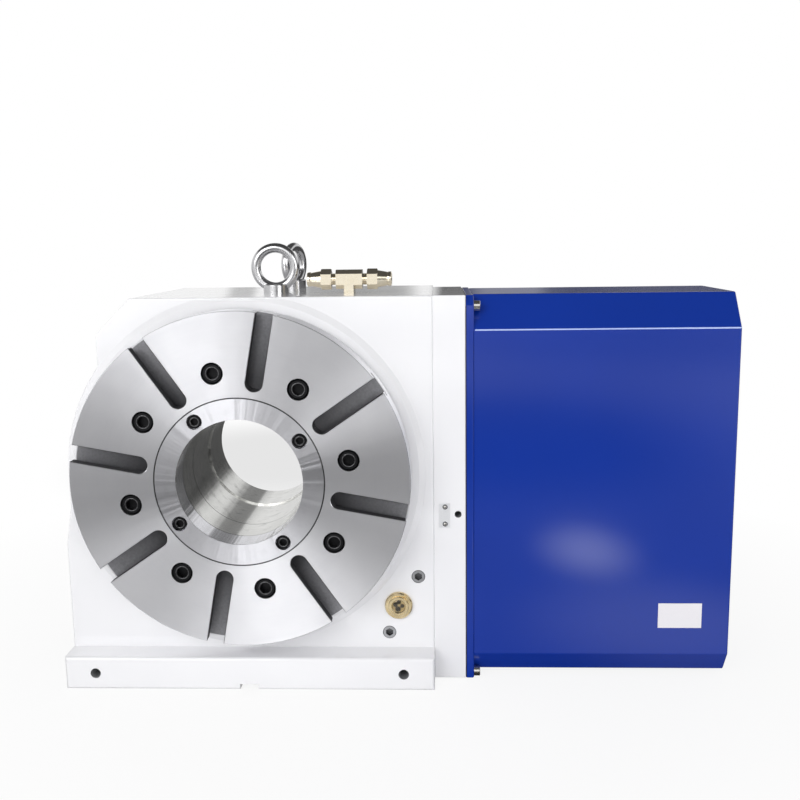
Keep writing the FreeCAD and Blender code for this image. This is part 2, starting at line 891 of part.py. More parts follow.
def make_worm_gear():
    outline = gear_outline(spur_module, worm_gear_teeth, 90.0, tooth_thinning, gear_start)
    gear = Part.Face(outline).extrude(FreeCAD.Vector(0, gear_width, 0))
    gear = gear.cut(cylinder_y(worm_journal + slip_fit, gear_start, gear_end))
    return lie_along_x(gear, worm_y, worm_z)


def make_gear_nut():
    outer = hexagon_y(worm_journal + worm_bearing_section / 2, gear_end, gear_shaft_end)
    nut = outer.cut(cylinder_y(worm_journal + slip_fit, gear_end, gear_shaft_end))
    return lie_along_x(nut, worm_y, worm_z)


def end_cover_radius():
    return worm_bearing_radius + end_cover_rim


def end_cover_screw_radius():
    return worm_bearing_radius + end_cover_rim / 2


def make_end_cover():
    sleeve = worm_bearing_radius - worm_race_wall
    fit = worm_bearing_radius - slip_fit
    rim = end_cover_radius()
    outside = -side - end_cover_thickness
    profile = [
        (0, outside), (rim - edge_break, outside), (rim, outside + edge_break), (rim, -side), (fit, -side),
        (fit, -worm_bearing_end), (sleeve, -worm_bearing_end), (sleeve, -side), (0, -side),
    ]
    depth = end_cover_screw_size
    seat = moved(screw_seat(end_cover_screw_size, depth, end_cover_thickness), 0, outside + depth, 0)
    body = turned_piece(profile).cut(circle_of(seat, end_cover_screw_count, end_cover_screw_radius(), 0))
    return lie_along_x(body, worm_y, worm_z)


def make_end_cover_screws():
    screw = socket_screw(end_cover_screw_size, end_cover_screw_length)
    screw = moved(screw, 0, end_cover_screw_size - side - end_cover_thickness, 0)
    screws = circle_of(screw, end_cover_screw_count, end_cover_screw_radius(), 0)
    return [lie_along_x(one, worm_y, worm_z) for one in screws]


# Housing


def body_outline():
    """Front outline of the casting: box on the right, drum on the left, wider block below."""
    drum_join = math.sqrt(drum_radius ** 2 - shoulder_wall ** 2)
    mid_angle = (math.pi + math.atan2(drum_join, -shoulder_wall)) / 2
    corners = [
        (-drum_radius, 0), (-drum_radius, -waist_drop), (-side, -waist_end), (-side, base), (side, base),
        (side, body_rise), (shoulder_chamfer - shoulder_wall, body_rise),
        (-shoulder_wall, body_rise - shoulder_chamfer), (-shoulder_wall, drum_join),
    ]
    points = [FreeCAD.Vector(x, body_front, z) for x, z in corners]
    edges = [Part.LineSegment(a, b).toShape() for a, b in zip(points, points[1:])]
    mid_x = drum_radius * math.cos(mid_angle)
    mid_z = drum_radius * math.sin(mid_angle)
    middle = FreeCAD.Vector(mid_x, body_front, mid_z)
    edges.append(Part.Arc(points[-1], middle, points[0]).toShape())
    return Part.Wire(edges)


def worm_bore_cutters():
    front = worm_bearing_radius
    run = worm_tip + free_gap
    web_outer = worm_shoulder - free_gap + worm_web
    passage_z = base + sump_floor + oil_passage
    return [
        cylinder_x(run, -worm_shoulder, worm_shoulder, worm_y, worm_z),
        cylinder_x(front, -side, -worm_shoulder, worm_y, worm_z),
        cylinder_x(front, worm_shoulder, side, worm_y, worm_z),
        cylinder_x(oil_passage / 2, -web_outer, web_outer, worm_y, passage_z),
    ]


def sump_cutters():
    """Oil space below the worm and one on each side, behind the bearing webs."""
    low = base + sump_floor
    front = body_front + sump_front_wall
    back = front + sump_depth
    web_inner = worm_shoulder - free_gap
    web_outer = web_inner + worm_web
    wall = side - casting_wall
    reach = worm_bearing_radius + casting_wall
    middle = block(-web_inner, web_inner, worm_y - reach, worm_y + reach, low, worm_z)
    right = block(web_outer, wall, front, back, low, low + sump_height)
    left = block(-wall, -web_outer, front, back, low, low + sump_height)
    return [middle, right, left]


def make_housing():
    body = Part.Face(body_outline()).extrude(FreeCAD.Vector(0, body_depth, 0))
    outline_edges = [edge for edge in body.Edges if edge.BoundBox.YLength < edge_round]
    body = body.makeFillet(edge_round, outline_edges)
    boss = turned_piece([
        (0, boss_front), (boss_radius - boss_taper, boss_front), (boss_radius, body_front),
        (boss_radius, body_front + edge_round), (0, body_front + edge_round),
    ])
    boss = boss.common(block(-drum_radius, drum_radius, 0, body_back, -drum_radius, body_rise - edge_round))
    foot = block(-side, side, body_front - foot_depth, body_front + edge_round, base, base + foot_height)
    rounded = [edge for edge in foot.Edges if edge.BoundBox.YMax < body_front]
    foot = foot.makeFillet(foot_round, rounded)
    foot_back = block(-side, side, body_front, body_front + 2 * edge_round, base, base + foot_height)
    body = body.fuse([boss, foot, foot_back])
    cutters = [
        cylinder_y(carrier_radius + slip_fit, boss_front, carrier_back),
        cylinder_y(main_bearing_radius + slip_fit, carrier_back, main_bearing_back),
        cylinder_y(wheel_chamber, main_bearing_back, wheel_back + free_gap),
        cylinder_y(rear_bearing_radius - free_gap, wheel_back, rear_bearing_front),
        cylinder_y(rear_bearing_radius + slip_fit, rear_bearing_front, rear_bearing_back),
        cylinder_y(brake_chamber, rear_bearing_back, cover_seat),
        cylinder_y(rear_cover_radius, cover_seat, body_back),
    ]
    cutters += worm_bore_cutters()
    cutters += sump_cutters()
    half_key = key_slot_width / 2
    cutters.append(block(-half_key, half_key, 0, body_back, base, base + key_slot_depth))
    pocket_start = side - wire_pocket_depth
    pocket_front = body_front + wire_pocket_wall + free_gap
    pocket_back = adapter_back - wire_pocket_wall - free_gap
    pocket_top = body_rise - wire_pocket_wall
    cutters.append(block(pocket_start, side, pocket_front, pocket_back, wire_pocket_wall, pocket_top))
    cutters += housing_holes()
    return body.cut(cutters)


def housing_holes():
    """Tapped holes, ports and oil drillings of the casting."""
    holes = []
    foot_front = body_front - foot_depth
    for x in (-foot_hole_spacing / 2, foot_hole_spacing / 2):
        hole_z = base + foot_height / 2
        hole_end = foot_front + foot_hole_depth
        holes.append(cylinder_y(tap_drill(foot_hole_size), foot_front, hole_end, x, hole_z))
    carrier_hole = tapped_hole(carrier_screw_size, 2 * carrier_screw_size + free_gap)
    carrier_hole = moved(carrier_hole, 0, carrier_back, 0)
    holes += circle_of(carrier_hole, carrier_screw_count, carrier_screw_radius(), 0)
    friction_hole = tapped_hole(friction_screw_size, rear_bearing_back - friction_screw_start())
    friction_hole = moved(friction_hole, 0, friction_screw_start(), 0)
    holes += circle_of(friction_hole, friction_screw_count, friction_screw_radius(), friction_screw_angle)
    cover_hole = tapped_hole(cover_screw_size, cover_screw_length)
    cover_hole = moved(cover_hole, 0, cover_seat - cover_screw_length, 0)
    holes += circle_of(cover_hole, cover_screw_count, cover_screw_radius(), 180.0 / cover_screw_count)
    end_hole = moved(tapped_hole(end_cover_screw_size, end_cover_screw_length), 0, -side, 0)
    for hole in circle_of(end_hole, end_cover_screw_count, end_cover_screw_radius(), 0):
        holes.append(lie_along_x(hole, worm_y, worm_z))
    for y, z in adapter_screw_places():
        radius = adapter_screw_size / 2 + slip_fit
        holes.append(cylinder_x(radius, side - adapter_screw_length, side, y, z))
    eye_hole_end = body_rise - eye_shank - free_gap
    for x, y, turn in eye_places:
        holes.append(cylinder_z(eye_thread / 2 + slip_fit, eye_hole_end, body_rise, x, y))
    port = tee_thread / 2 + slip_fit
    holes.append(cylinder_z(port, body_rise - tee_shank - free_gap, body_rise, tee_x, tee_y))
    holes.append(cylinder_z(oil_channel / 2, oil_channel_height, body_rise, tee_x, tee_y))
    holes.append(cylinder_y(oil_channel / 2, tee_y, cover_seat, tee_x, oil_channel_height))
    sump_front = body_front + sump_front_wall
    holes.append(cylinder_y(glass_thread / 2 + slip_fit, body_front, sump_front, glass_x, glass_height))
    plug_hole_end = body_front + plug_length + edge_break
    for x, rise in plug_places:
        holes.append(cylinder_y(plug_diameter / 2 + slip_fit, body_front, plug_hole_end, x, base + rise))
        holes.append(cylinder_y(plug_socket / 2, body_front, sump_front, x, base + rise))
    return holes


def tap_drill(size):
    return size * tap_drill_share


# Adapter plate, motor and gears


def adapter_screw_places():
    front = body_front + adapter_screw_inset
    back = adapter_back - adapter_screw_inset
    return [(y, z) for y in (front, back) for z in adapter_screw_heights]


def lid_screw_places():
    top = cover_top - lid_top_drop
    low = cover_bottom + lid_low_rise
    return [
        (body_front + lid_top_inset, top), (adapter_back - lid_top_inset, top),
        (body_front + lid_low_inset, low), (adapter_back - lid_low_inset, low),
    ]


def motor_screw_places():
    half = motor_screw_pitch / 2
    return [(worm_y + y, motor_z + z) for y in (-half, half) for z in (-half, half)]


def make_adapter_plate():
    body = block(side, adapter_end, body_front, adapter_back, base + adapter_lift, body_rise)
    body = body.makeChamfer(edge_break, body.Edges)
    pocket_end = adapter_end - adapter_web
    gear_room = worm_gear_radius + spur_module + free_gap
    pocket = cylinder_x(gear_room, side, pocket_end, worm_y, worm_z)
    pilot = motor_pilot + slip_fit
    cutters = [
        pocket, cylinder_x(pilot, side, adapter_end, worm_y, motor_z),
        block(side, pocket_end, worm_y - motor_pilot, worm_y + motor_pilot, worm_z, motor_z),
    ]
    for y, z in adapter_screw_places():
        seat = screw_seat(adapter_screw_size, adapter_screw_size + edge_break, adapter_thickness)
        cutters.append(point_to_motor(seat, adapter_end - adapter_screw_size - edge_break, y, z))
    for y, z in lid_screw_places():
        cutters.append(point_to_motor(tapped_hole(lid_screw_size, lid_screw_length), adapter_end, y, z))
    for y, z in motor_screw_places():
        cutters.append(point_to_motor(tapped_hole(motor_screw_size, adapter_web), adapter_end, y, z))
    hole_x = adapter_end - side_hole_inset
    hole_end = body_front + side_hole_depth
    hole_z = base + side_hole_rise
    cutters.append(cylinder_y(tap_drill(side_hole_size), body_front, hole_end, hole_x, hole_z))
    return body.cut(cutters)


def make_adapter_screws():
    screw = socket_screw(adapter_screw_size, adapter_screw_length)
    seat = adapter_end - adapter_screw_size - edge_break
    return [point_to_motor(screw, seat, y, z) for y, z in adapter_screw_places()]


def square_along_x(size, start, end, y, z, corner):
    half = size / 2
    body = block(start, end, y - half, y + half, z - half, z + half)
    long_edges = [edge for edge in body.Edges if edge.BoundBox.XLength > (end - start) / 2]
    return body.makeChamfer(corner, long_edges)


def make_motor_flange():
    body = square_along_x(motor_flange_size, adapter_end, motor_flange_end, worm_y, motor_z, motor_corner)
    pilot_start = adapter_end - motor_pilot_height
    body = body.fuse(cylinder_x(motor_pilot, pilot_start, adapter_end, worm_y, motor_z))
    bearing_seat = motor_flange_end - motor_bearing_width
    cutters = [
        cylinder_x(motor_shaft + free_gap, pilot_start, bearing_seat, worm_y, motor_z),
        cylinder_x(motor_shaft + motor_bearing_section, bearing_seat, motor_flange_end, worm_y, motor_z),
    ]
    for y, z in motor_screw_places():
        hole = cylinder_x(motor_screw_size * screw_clearance_share, adapter_end, motor_flange_end, y, z)
        cutters.append(hole)
    return body.cut(cutters)


def make_motor_screws():
    screw = socket_screw(motor_screw_size, motor_flange_thickness + adapter_web - edge_break)
    return [point_to_motor(screw, motor_flange_end, y, z) for y, z in motor_screw_places()]


def motor_screw_relief():
    return head_radius(motor_screw_size) + free_gap


def make_motor_body():
    body = square_along_x(motor_body_size, motor_flange_end, motor_body_end, worm_y, motor_z, motor_corner)
    rear_seat = motor_body_end - motor_bearing_width
    cutters = [
        cylinder_x(rotor_diameter / 2 + rotor_gap, motor_flange_end, rear_seat - free_gap, worm_y, motor_z),
        cylinder_x(motor_shaft + free_gap, motor_flange_end, motor_body_end, worm_y, motor_z),
        cylinder_x(motor_shaft + motor_bearing_section, rear_seat, motor_body_end, worm_y, motor_z),
    ]
    relief_end = motor_flange_end + 2 * motor_screw_size + free_gap
    for y, z in motor_screw_places():
        cutters.append(cylinder_x(motor_screw_relief(), motor_flange_end, relief_end, y, z))
    return body.cut(cutters)


def make_motor_bearings():
    inner = motor_shaft + running_gap
    outer = motor_shaft + motor_bearing_section - slip_fit
    bearings = []
    for end in (motor_flange_end, motor_body_end):
        bearings.append(lie_along_x(ring(inner, outer, end - motor_bearing_width, end), worm_y, motor_z))
    return bearings


def make_motor_cap():
    return square_along_x(motor_cap_size, motor_body_end, motor_cap_end, worm_y, motor_z, motor_corner)


def make_motor_shaft():
    rotor_start = motor_flange_end + motor_bearing_width
    rotor_end = motor_body_end - 2 * motor_bearing_width
    rotor = rotor_diameter / 2
    shaft_end = motor_body_end - rotor_gap
    profile = [
        (0, gear_start), (motor_shaft, gear_start), (motor_shaft, rotor_start), (rotor, rotor_start),
        (rotor, rotor_end), (motor_shaft, rotor_end), (motor_shaft, shaft_end), (0, shaft_end),
    ]
    return lie_along_x(turned_piece(profile), worm_y, motor_z)


def make_motor_pinion():
    phase = -90.0 + 180.0 / pinion_teeth
    outline = gear_outline(spur_module, pinion_teeth, phase, tooth_thinning, gear_start)
    pinion = Part.Face(outline).extrude(FreeCAD.Vector(0, gear_width, 0))
    pinion = pinion.cut(cylinder_y(motor_shaft + slip_fit, gear_start, gear_end))
    return lie_along_x(pinion, worm_y, motor_z)


# Motor cover


def cover_section(x, inset):
    """Bent section of the cover across X, drawn inwards by the inset."""
    front = body_front + inset
    back = adapter_back - inset
    top = cover_top - inset
    low = cover_bottom + cover_low_lift + inset
    top_run = cover_top_bevel_depth - inset * cover_top_bevel_depth / cover_top_bevel_height
    top_drop = top - cover_top_bevel_height + inset / 2
    low_run = cover_low_bevel_depth - inset * cover_low_bevel_depth / cover_low_bevel_height
    low_rise = low + cover_low_bevel_height - inset / 2
    corners = [
        (front, low_rise), (front + low_run, low), (back - low_run, low), (back, low_rise),
        (back, top_drop), (back - top_run, top), (front + top_run, top), (front, top_drop),
    ]
    bend = cover_bend - min(inset, cover_bend / 2)
    return rounded_outline([FreeCAD.Vector(x, y, z) for y, z in corners], bend)


def make_motor_cover():
    shell = Part.Face(cover_section(cover_inner_start, 0)).extrude(FreeCAD.Vector(cover_length, 0, 0))
    end_edges = [edge for edge in shell.Edges if edge.BoundBox.XMin > cover_end - edge_break]
    shell = shell.makeFillet(edge_round, end_edges)
    corner = cover_corner_cut
    outline = [
        (body_front, cover_bottom), (adapter_back, cover_bottom),
        (adapter_back, cover_top - corner), (adapter_back - corner, cover_top),
        (body_front + corner, cover_top), (body_front, cover_top - corner),
    ]
    points = [FreeCAD.Vector(adapter_end, y, z) for y, z in outline]
    flange = Part.Face(Part.makePolygon(points + points[:1]))
    flange = flange.extrude(FreeCAD.Vector(cover_flange_thickness, 0, 0))
    rim_edges = [edge for edge in flange.Edges if edge.BoundBox.XLength < edge_break]
    flange = flange.makeFillet(edge_round, rim_edges)
    inside = Part.Face(cover_section(adapter_end, cover_sheet))
    inside = inside.extrude(FreeCAD.Vector(cover_end - cover_sheet - adapter_end, 0, 0))
    hole_start = adapter_back - 2 * cover_sheet
    gland_hole = cylinder_y(gland_thread / 2 + slip_fit, hole_start, adapter_back, gland_x(), gland_height)
    cutters = [inside, gland_hole]
    for y, z in lid_screw_places():
        radius = lid_screw_size * screw_clearance_share
        cutters.append(cylinder_x(radius, adapter_end, cover_inner_start, y, z))
    return shell.fuse(flange).cut(cutters)


def make_lid_screws():
    screw = socket_screw(lid_screw_size, lid_screw_length)
    return [point_to_motor(screw, cover_inner_start, y, z) for y, z in lid_screw_places()]


def gland_x():
    return cover_end - gland_inset


def make_cable_gland():
    inner = adapter_back - cover_sheet - gland_collar_height
    thread = cylinder_y(gland_thread / 2, inner, adapter_back)
    body = hexagon_y(gland_hex / math.sqrt(3), adapter_back, adapter_back + gland_hex_height)
    body = body.fuse(thread).cut(cylinder_y(gland_bore / 2, inner, adapter_back + gland_hex_height))
    return moved(body, gland_x(), 0, gland_height)


def make_gland_nuts():
    start = adapter_back + gland_hex_height
    half = gland_hex / 2
    end = start + gland_nut_height
    dome = turned_piece([
        (gland_bore / 2, start), (half, start), (half, end - gland_bore / 2),
        (gland_bore / 2 + free_gap, end), (gland_bore / 2, end),
    ])
    lock_end = adapter_back - cover_sheet
    lock = hexagon_y(gland_hex / math.sqrt(3), lock_end - gland_collar_height, lock_end)
    lock = lock.cut(cylinder_y(gland_thread / 2 + slip_fit, lock_end - gland_collar_height, lock_end))
    return [moved(dome, gland_x(), 0, gland_height), moved(lock, gland_x(), 0, gland_height)]


# Fittings on the top face


def make_eyebolts():
    bolts = []
    for x, y, turn in eye_places:
        ring_z = body_rise + eye_height - eye_ring_diameter / 2 - eye_section / 2
        eye = Part.makeTorus(eye_ring_diameter / 2, eye_section / 2, FreeCAD.Vector(0, 0, ring_z), along_y)
        collar_top = body_rise + eye_collar_height
        collar = cylinder_z(eye_collar_diameter / 2, body_rise, collar_top, 0, 0)
        collar = collar.makeFillet(edge_round, [collar.Edges[0]])
        neck_start = FreeCAD.Vector(0, 0, collar_top - eye_collar_height / 2)
        neck_length = eye_neck_height - eye_collar_height / 2
        neck = Part.makeCone(eye_neck_diameter / 2, eye_section / 2, neck_length, neck_start, along_z)
        eye_way = eye_ring_diameter / 2 - eye_section / 4
        neck = neck.cut(cylinder_y(eye_way, -eye_neck_diameter, eye_neck_diameter, 0, ring_z))
        shank = cylinder_z(eye_thread / 2, body_rise - eye_shank, body_rise, 0, 0)
        bolt = eye.fuse([collar, neck, shank]).removeSplitter()
        bolt.rotate(origin, along_z, turn)
        bolts.append(moved(bolt, x, y, 0))
    return bolts


def tee_axis_height():
    return body_rise + tee_rise


def make_tee_fitting():
    half = tee_block / 2
    axis = tee_axis_height()
    body = block(-tee_half_length, tee_half_length, -half, half, -half, half)
    long_edges = [edge for edge in body.Edges if edge.BoundBox.XLength > tee_half_length]
    body = body.makeChamfer(tee_bevel, long_edges)
    stem = tee_stem / 2
    foot = block(-stem, stem, -half, half, -tee_rise, -half + 2 * tee_bevel)
    foot = foot.makeChamfer(edge_break, [edge for edge in foot.Edges if edge.BoundBox.ZLength > half])
    shank = cylinder_z(tee_thread / 2, -tee_rise - tee_shank, -tee_rise, 0, 0)
    reach = tee_half_length + tee_neck_length + nut_length
    necks = cylinder_x(tee_neck_diameter / 2, -reach, reach, 0, 0)
    mark = ring(half / 2, half / 2 + edge_break / 2, -half, -half + edge_break / 2)
    bores = [
        cylinder_x(tee_drilling / 2, -reach, reach, 0, 0),
        cylinder_z(tee_drilling / 2, -tee_rise - tee_shank, 0, 0, 0), mark,
    ]
    tee = body.fuse([foot, shank, necks]).cut(bores)
    return moved(tee, tee_x, tee_y, axis)


def tee_nut():
    """Hexagon nut with a cone, along Y, from the neck outwards."""
    start = tee_half_length + tee_neck_length
    cone_start = start + nut_length
    end = cone_start + nut_cone_length
    corner = nut_across_flats / math.sqrt(3)
    hexagon = hexagon_y(corner, start, cone_start)
    rounding = turned_piece([
        (0, start), (corner - edge_break, start), (corner, start + edge_break),
        (corner, cone_start - edge_break), (corner - edge_break, cone_start), (0, cone_start),
    ])
    cone_radius = nut_across_flats / 2 - edge_break / 2
    cone_foot = FreeCAD.Vector(0, cone_start, 0)
    cone = Part.makeCone(cone_radius, nut_cone_end / 2, nut_cone_length, cone_foot, along_y)
    hollow = cylinder_y(tee_neck_diameter / 2 + slip_fit, start, cone_start)
    tube_way = cylinder_y(sleeve_diameter / 2 - free_gap / 2, cone_start, end)
    return hexagon.common(rounding).fuse(cone).cut([hollow, tube_way])


def both_sides(shape):
    """A piece made along Y from the tee, laid to the right and to the left of it."""
    right = lie_along_x(shape, tee_y, tee_axis_height())
    left = right.copy()
    left.rotate(FreeCAD.Vector(0, tee_y, tee_axis_height()), along_z, 180)
    return [moved(right, tee_x, 0, 0), moved(left, tee_x, 0, 0)]


def make_tee_nuts():
    return both_sides(tee_nut())


def make_tee_sleeves():
    cone_end = tee_half_length + tee_neck_length + nut_length + nut_cone_length
    inside = sleeve_diameter / 2 - free_gap / 2 - slip_fit
    start = tee_half_length + tee_neck_length + nut_length
    way = tube_diameter / 2 + tube_room / 2
    sleeve = turned_piece([
        (way, start), (inside, start), (inside, cone_end), (sleeve_diameter / 2, cone_end),
        (sleeve_diameter / 2, cone_end + sleeve_length - edge_break),
        (sleeve_diameter / 2 - edge_break, cone_end + sleeve_length), (way, cone_end + sleeve_length),
    ])
    return both_sides(sleeve)


# Sight glass, plugs and plates


def make_glass_bezel():
    rim = glass_rim_diameter / 2
    step = glass_step_diameter / 2
    window = glass_window_diameter / 2
    face = body_front - glass_rim_height
    nose = face - glass_step_height
    window_seat = nose + glass_window_drop + glass_window_thickness
    thread_end = body_front + glass_thread_length
    way = window - free_gap
    body = turned_piece([
        (window + edge_break, nose), (step - edge_break, nose), (step, nose + edge_break), (step, face),
        (rim - 2 * edge_break, face), (rim, face + 2 * edge_break), (rim, body_front),
        (glass_thread / 2, body_front), (glass_thread / 2, thread_end), (way, thread_end),
        (way, window_seat), (window, window_seat), (window, nose + edge_break),
    ])
    notch = glass_step_height
    slot = block(step, rim + free_gap, face - free_gap, face + notch, -notch, notch)
    body = body.cut([swung(slot, glass_notch_angle), swung(slot, glass_notch_angle + 180.0)])
    return moved(body, glass_x, 0, glass_height)


def make_glass_window():
    nose = body_front - glass_rim_height - glass_step_height
    start = nose + glass_window_drop
    pane = cylinder_y(glass_window_diameter / 2 - slip_fit, start, start + glass_window_thickness)
    return moved(pane, glass_x, 0, glass_height)


def make_pipe_plugs():
    rim = plug_diameter / 2
    end = body_front + plug_length
    plug = turned_piece([
        (0, body_front), (rim - edge_break, body_front), (rim, body_front + edge_break), (rim, end), (0, end),
    ])
    socket = hexagon_y(plug_socket / math.sqrt(3), body_front, body_front + plug_length / 2)
    plug = plug.cut(socket)
    return [moved(plug, x, 0, base + rise) for x, rise in plug_places]


def front_plate(size, place):
    wide = size[0] / 2
    tall = size[1] / 2
    x = place[0]
    z = base + place[1]
    return block(x - wide, x + wide, body_front - plate_thickness, body_front, z - tall, z + tall)


def make_nameplate():
    return front_plate(nameplate_size, nameplate_place)


def make_label_plate():
    return front_plate(label_size, label_place)


main_inner, main_rollers, main_outer = roller_bearing(
    main_journal, main_bearing_section, flange_back, carrier_back, main_bearing_back, main_roller_count)
rear_inner, rear_rollers, rear_outer = roller_bearing(
    rear_journal, rear_bearing_section, rear_bearing_front, rear_bearing_front, rear_bearing_back,
    rear_roller_count)
worm_inners, worm_balls, worm_outers = make_worm_bearings()

nodes = {
    "housing": make_housing(),
    "faceplate": make_faceplate(),
    "faceplate_screws": make_faceplate_screws(),
    "centre_bush": make_centre_bush(),
    "centre_bush_screws": make_bush_screws(),
    "spindle": make_spindle(),
    "seal_carrier": make_seal_carrier(),
    "seal_carrier_screws": make_carrier_screws(),
    "front_seal": make_front_seal(),
    "main_bearing_inner_ring": main_inner,
    "main_bearing_rollers": main_rollers,
    "main_bearing_outer_ring": main_outer,
    "front_spacer": make_front_spacer(),
    "worm_wheel": make_worm_wheel(),
    "worm_wheel_key": wheel_key_block(0.0),
    "rear_spacer": make_rear_spacer(),
    "rear_bearing_inner_ring": rear_inner,
    "rear_bearing_rollers": rear_rollers,
    "rear_bearing_outer_ring": rear_outer,
    "brake_disc_spacer": make_disc_spacer(),
    "brake_disc": make_brake_disc(),
    "spindle_nut": make_spindle_nut(),
    "brake_friction_ring": make_friction_ring(),
    "friction_ring_screws": make_friction_screws(),
    "brake_piston": make_brake_piston(),
    "brake_piston_seals": make_piston_seals(),
    "rear_cover": make_rear_cover(),
    "rear_cover_screws": make_rear_cover_screws(),
    "rear_seal": make_rear_seal(),
    "worm_shaft": make_worm_shaft(),
    "worm_bearing_inner_rings": worm_inners,
    "worm_bearing_balls": worm_balls,
    "worm_bearing_outer_rings": worm_outers,
    "worm_shaft_nuts": [make_worm_nut(), make_gear_nut()],
    "worm_gear_spacer": make_gear_spacer(),
    "worm_shaft_seal": make_worm_seal(),
    "worm_drive_gear": make_worm_gear(),
    "worm_end_cover": make_end_cover(),
    "worm_end_cover_screws": make_end_cover_screws(),
    "adapter_plate": make_adapter_plate(),
    "adapter_screws": make_adapter_screws(),
    "motor_flange": make_motor_flange(),
    "motor_screws": make_motor_screws(),
    "motor_body": make_motor_body(),
    "motor_bearings": make_motor_bearings(),
    "motor_end_cap": make_motor_cap(),
    "motor_shaft": make_motor_shaft(),
    "motor_pinion": make_motor_pinion(),
    "motor_cover": make_motor_cover(),
    "motor_cover_screws": make_lid_screws(),
    "cable_gland": make_cable_gland(),
    "cable_gland_nuts": make_gland_nuts(),
    "eyebolts": make_eyebolts(),
    "tee_fitting": make_tee_fitting(),
    "tee_nuts": make_tee_nuts(),
    "tee_sleeves": make_tee_sleeves(),
    "sight_glass_bezel": make_glass_bezel(),
    "sight_glass_window": make_glass_window(),
    "pipe_plugs": make_pipe_plugs(),
    "blank_plates": [make_nameplate(), make_label_plate()],
}

os.makedirs("parts", exist_ok=True)
for name, shape in nodes.items():
    solids = shape if isinstance(shape, list) else [shape]
    pieces = [solid for one in solids for solid in one.Solids]
    Part.makeCompound(pieces).exportStep("parts/" + name + ".step")
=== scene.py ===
import math

import bmesh
import bpy
import numpy as np
from mathutils import Matrix, Vector


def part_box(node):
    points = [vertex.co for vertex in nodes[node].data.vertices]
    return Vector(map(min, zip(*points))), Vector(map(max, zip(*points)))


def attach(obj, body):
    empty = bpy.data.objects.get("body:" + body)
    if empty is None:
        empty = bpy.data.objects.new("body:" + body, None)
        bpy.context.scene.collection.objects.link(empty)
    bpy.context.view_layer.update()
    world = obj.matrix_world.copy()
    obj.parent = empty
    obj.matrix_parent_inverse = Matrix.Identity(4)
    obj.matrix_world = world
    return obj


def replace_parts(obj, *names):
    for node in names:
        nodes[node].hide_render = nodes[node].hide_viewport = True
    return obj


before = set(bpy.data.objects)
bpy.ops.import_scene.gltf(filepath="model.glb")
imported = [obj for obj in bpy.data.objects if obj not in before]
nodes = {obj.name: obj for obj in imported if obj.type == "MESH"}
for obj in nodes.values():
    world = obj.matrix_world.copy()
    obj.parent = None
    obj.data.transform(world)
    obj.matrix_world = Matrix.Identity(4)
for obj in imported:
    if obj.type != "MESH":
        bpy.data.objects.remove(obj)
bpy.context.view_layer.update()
mm = 0.001
print("frame loaded with", len(nodes), "nodes")


def toLinear(hexColour):
    # sRGB hex to the linear colour that the shaders take
    channels = [int(hexColour[n:n + 2], 16) / 255 for n in (1, 3, 5)]
    linear = [c / 12.92 if c <= 0.04045 else ((c + 0.055) / 1.055) ** 2.4 for c in channels]
    return (*linear, 1.0)


def addNode(tree, kind, settings=None, links=None):
    # a setting is a socket's value where the name or number is a socket's, and the node's own otherwise
    node = tree.nodes.new(kind)
    for key, value in (settings or {}).items():
        if isinstance(key, int) or key in node.inputs:
            continue
        setattr(node, key, value)
    for key, value in (settings or {}).items():
        if isinstance(key, int) or key in node.inputs:
            node.inputs[key].default_value = value
    for key, source in (links or {}).items():
        tree.links.new(source, node.inputs[key])
    return node


def perMm(size):
    # noise scale whose grains are about this many millimetres wide
    return 1.0 / (size * mm)


def startMaterial(name):
    material = bpy.data.materials.new(name)
    material.use_nodes = True
    tree = material.node_tree
    return material, tree, tree.nodes["Principled BSDF"], addNode(tree, "ShaderNodeTexCoord").outputs["Object"]


def fromCentre(tree, place, centre):
    # places measured from a point of the part, given in millimetres
    shift = tuple(-c * mm for c in centre)
    return addNode(tree, "ShaderNodeMapping", {"Location": shift}, {"Vector": place}).outputs[0]


def flatAcross(tree, place, axis):
    # the place with one axis put to zero
    keep = tuple(0.0 if n == axis else 1.0 for n in "XYZ")
    return addNode(tree, "ShaderNodeVectorMath", {"operation": "MULTIPLY", 1: keep}, {0: place}).outputs[0]


def acrossAxis(tree, place, axis):
    # distance from the axis through the pattern's centre
    flat = flatAcross(tree, place, axis)
    return addNode(tree, "ShaderNodeVectorMath", {"operation": "LENGTH"}, {0: flat}).outputs["Value"]


def fromRange(low, high, unit=1.0):
    # the part of a measure over which a level changes
    return {"From Min": low * unit, "From Max": high * unit}


def rampLevels(tree, ramps, measures, unit=1.0):
    # levels that go from one to another over a span of a measure, smoothly unless a ramp names its blend; the measure
    # is the one the ramp names, or the one with the ramp's own name
    return {name: addNode(tree, "ShaderNodeMapRange", {
        "interpolation_type": ramp.get("blend", "SMOOTHSTEP"), **fromRange(*ramp["span"], unit),
        "To Min": ramp["levels"][0], "To Max": ramp["levels"][1],
    }, {"Value": measures[ramp.get("by", name)]}).outputs[0] for name, ramp in ramps.items()}


def nearLine(tree, measure, line, inner, outer, level, blend="LINEAR"):
    # a level that holds up to the inner distance from a line of the measure, and is gone at the outer one
    away = addNode(tree, "ShaderNodeMath", {"operation": "SUBTRACT", 1: line}, {0: measure})
    away = addNode(tree, "ShaderNodeMath", {"operation": "ABSOLUTE"}, {0: away.outputs[0]})
    return addNode(tree, "ShaderNodeMapRange", {
        "interpolation_type": blend, **fromRange(inner, outer), "To Min": level, "To Max": 0.0,
    }, {"Value": away.outputs[0]}).outputs[0]


def reopen(material):
    # a made material's nodes and its places on the part, to add to it
    tree = material.node_tree
    return tree, tree.nodes["Texture Coordinate"].outputs["Object"]


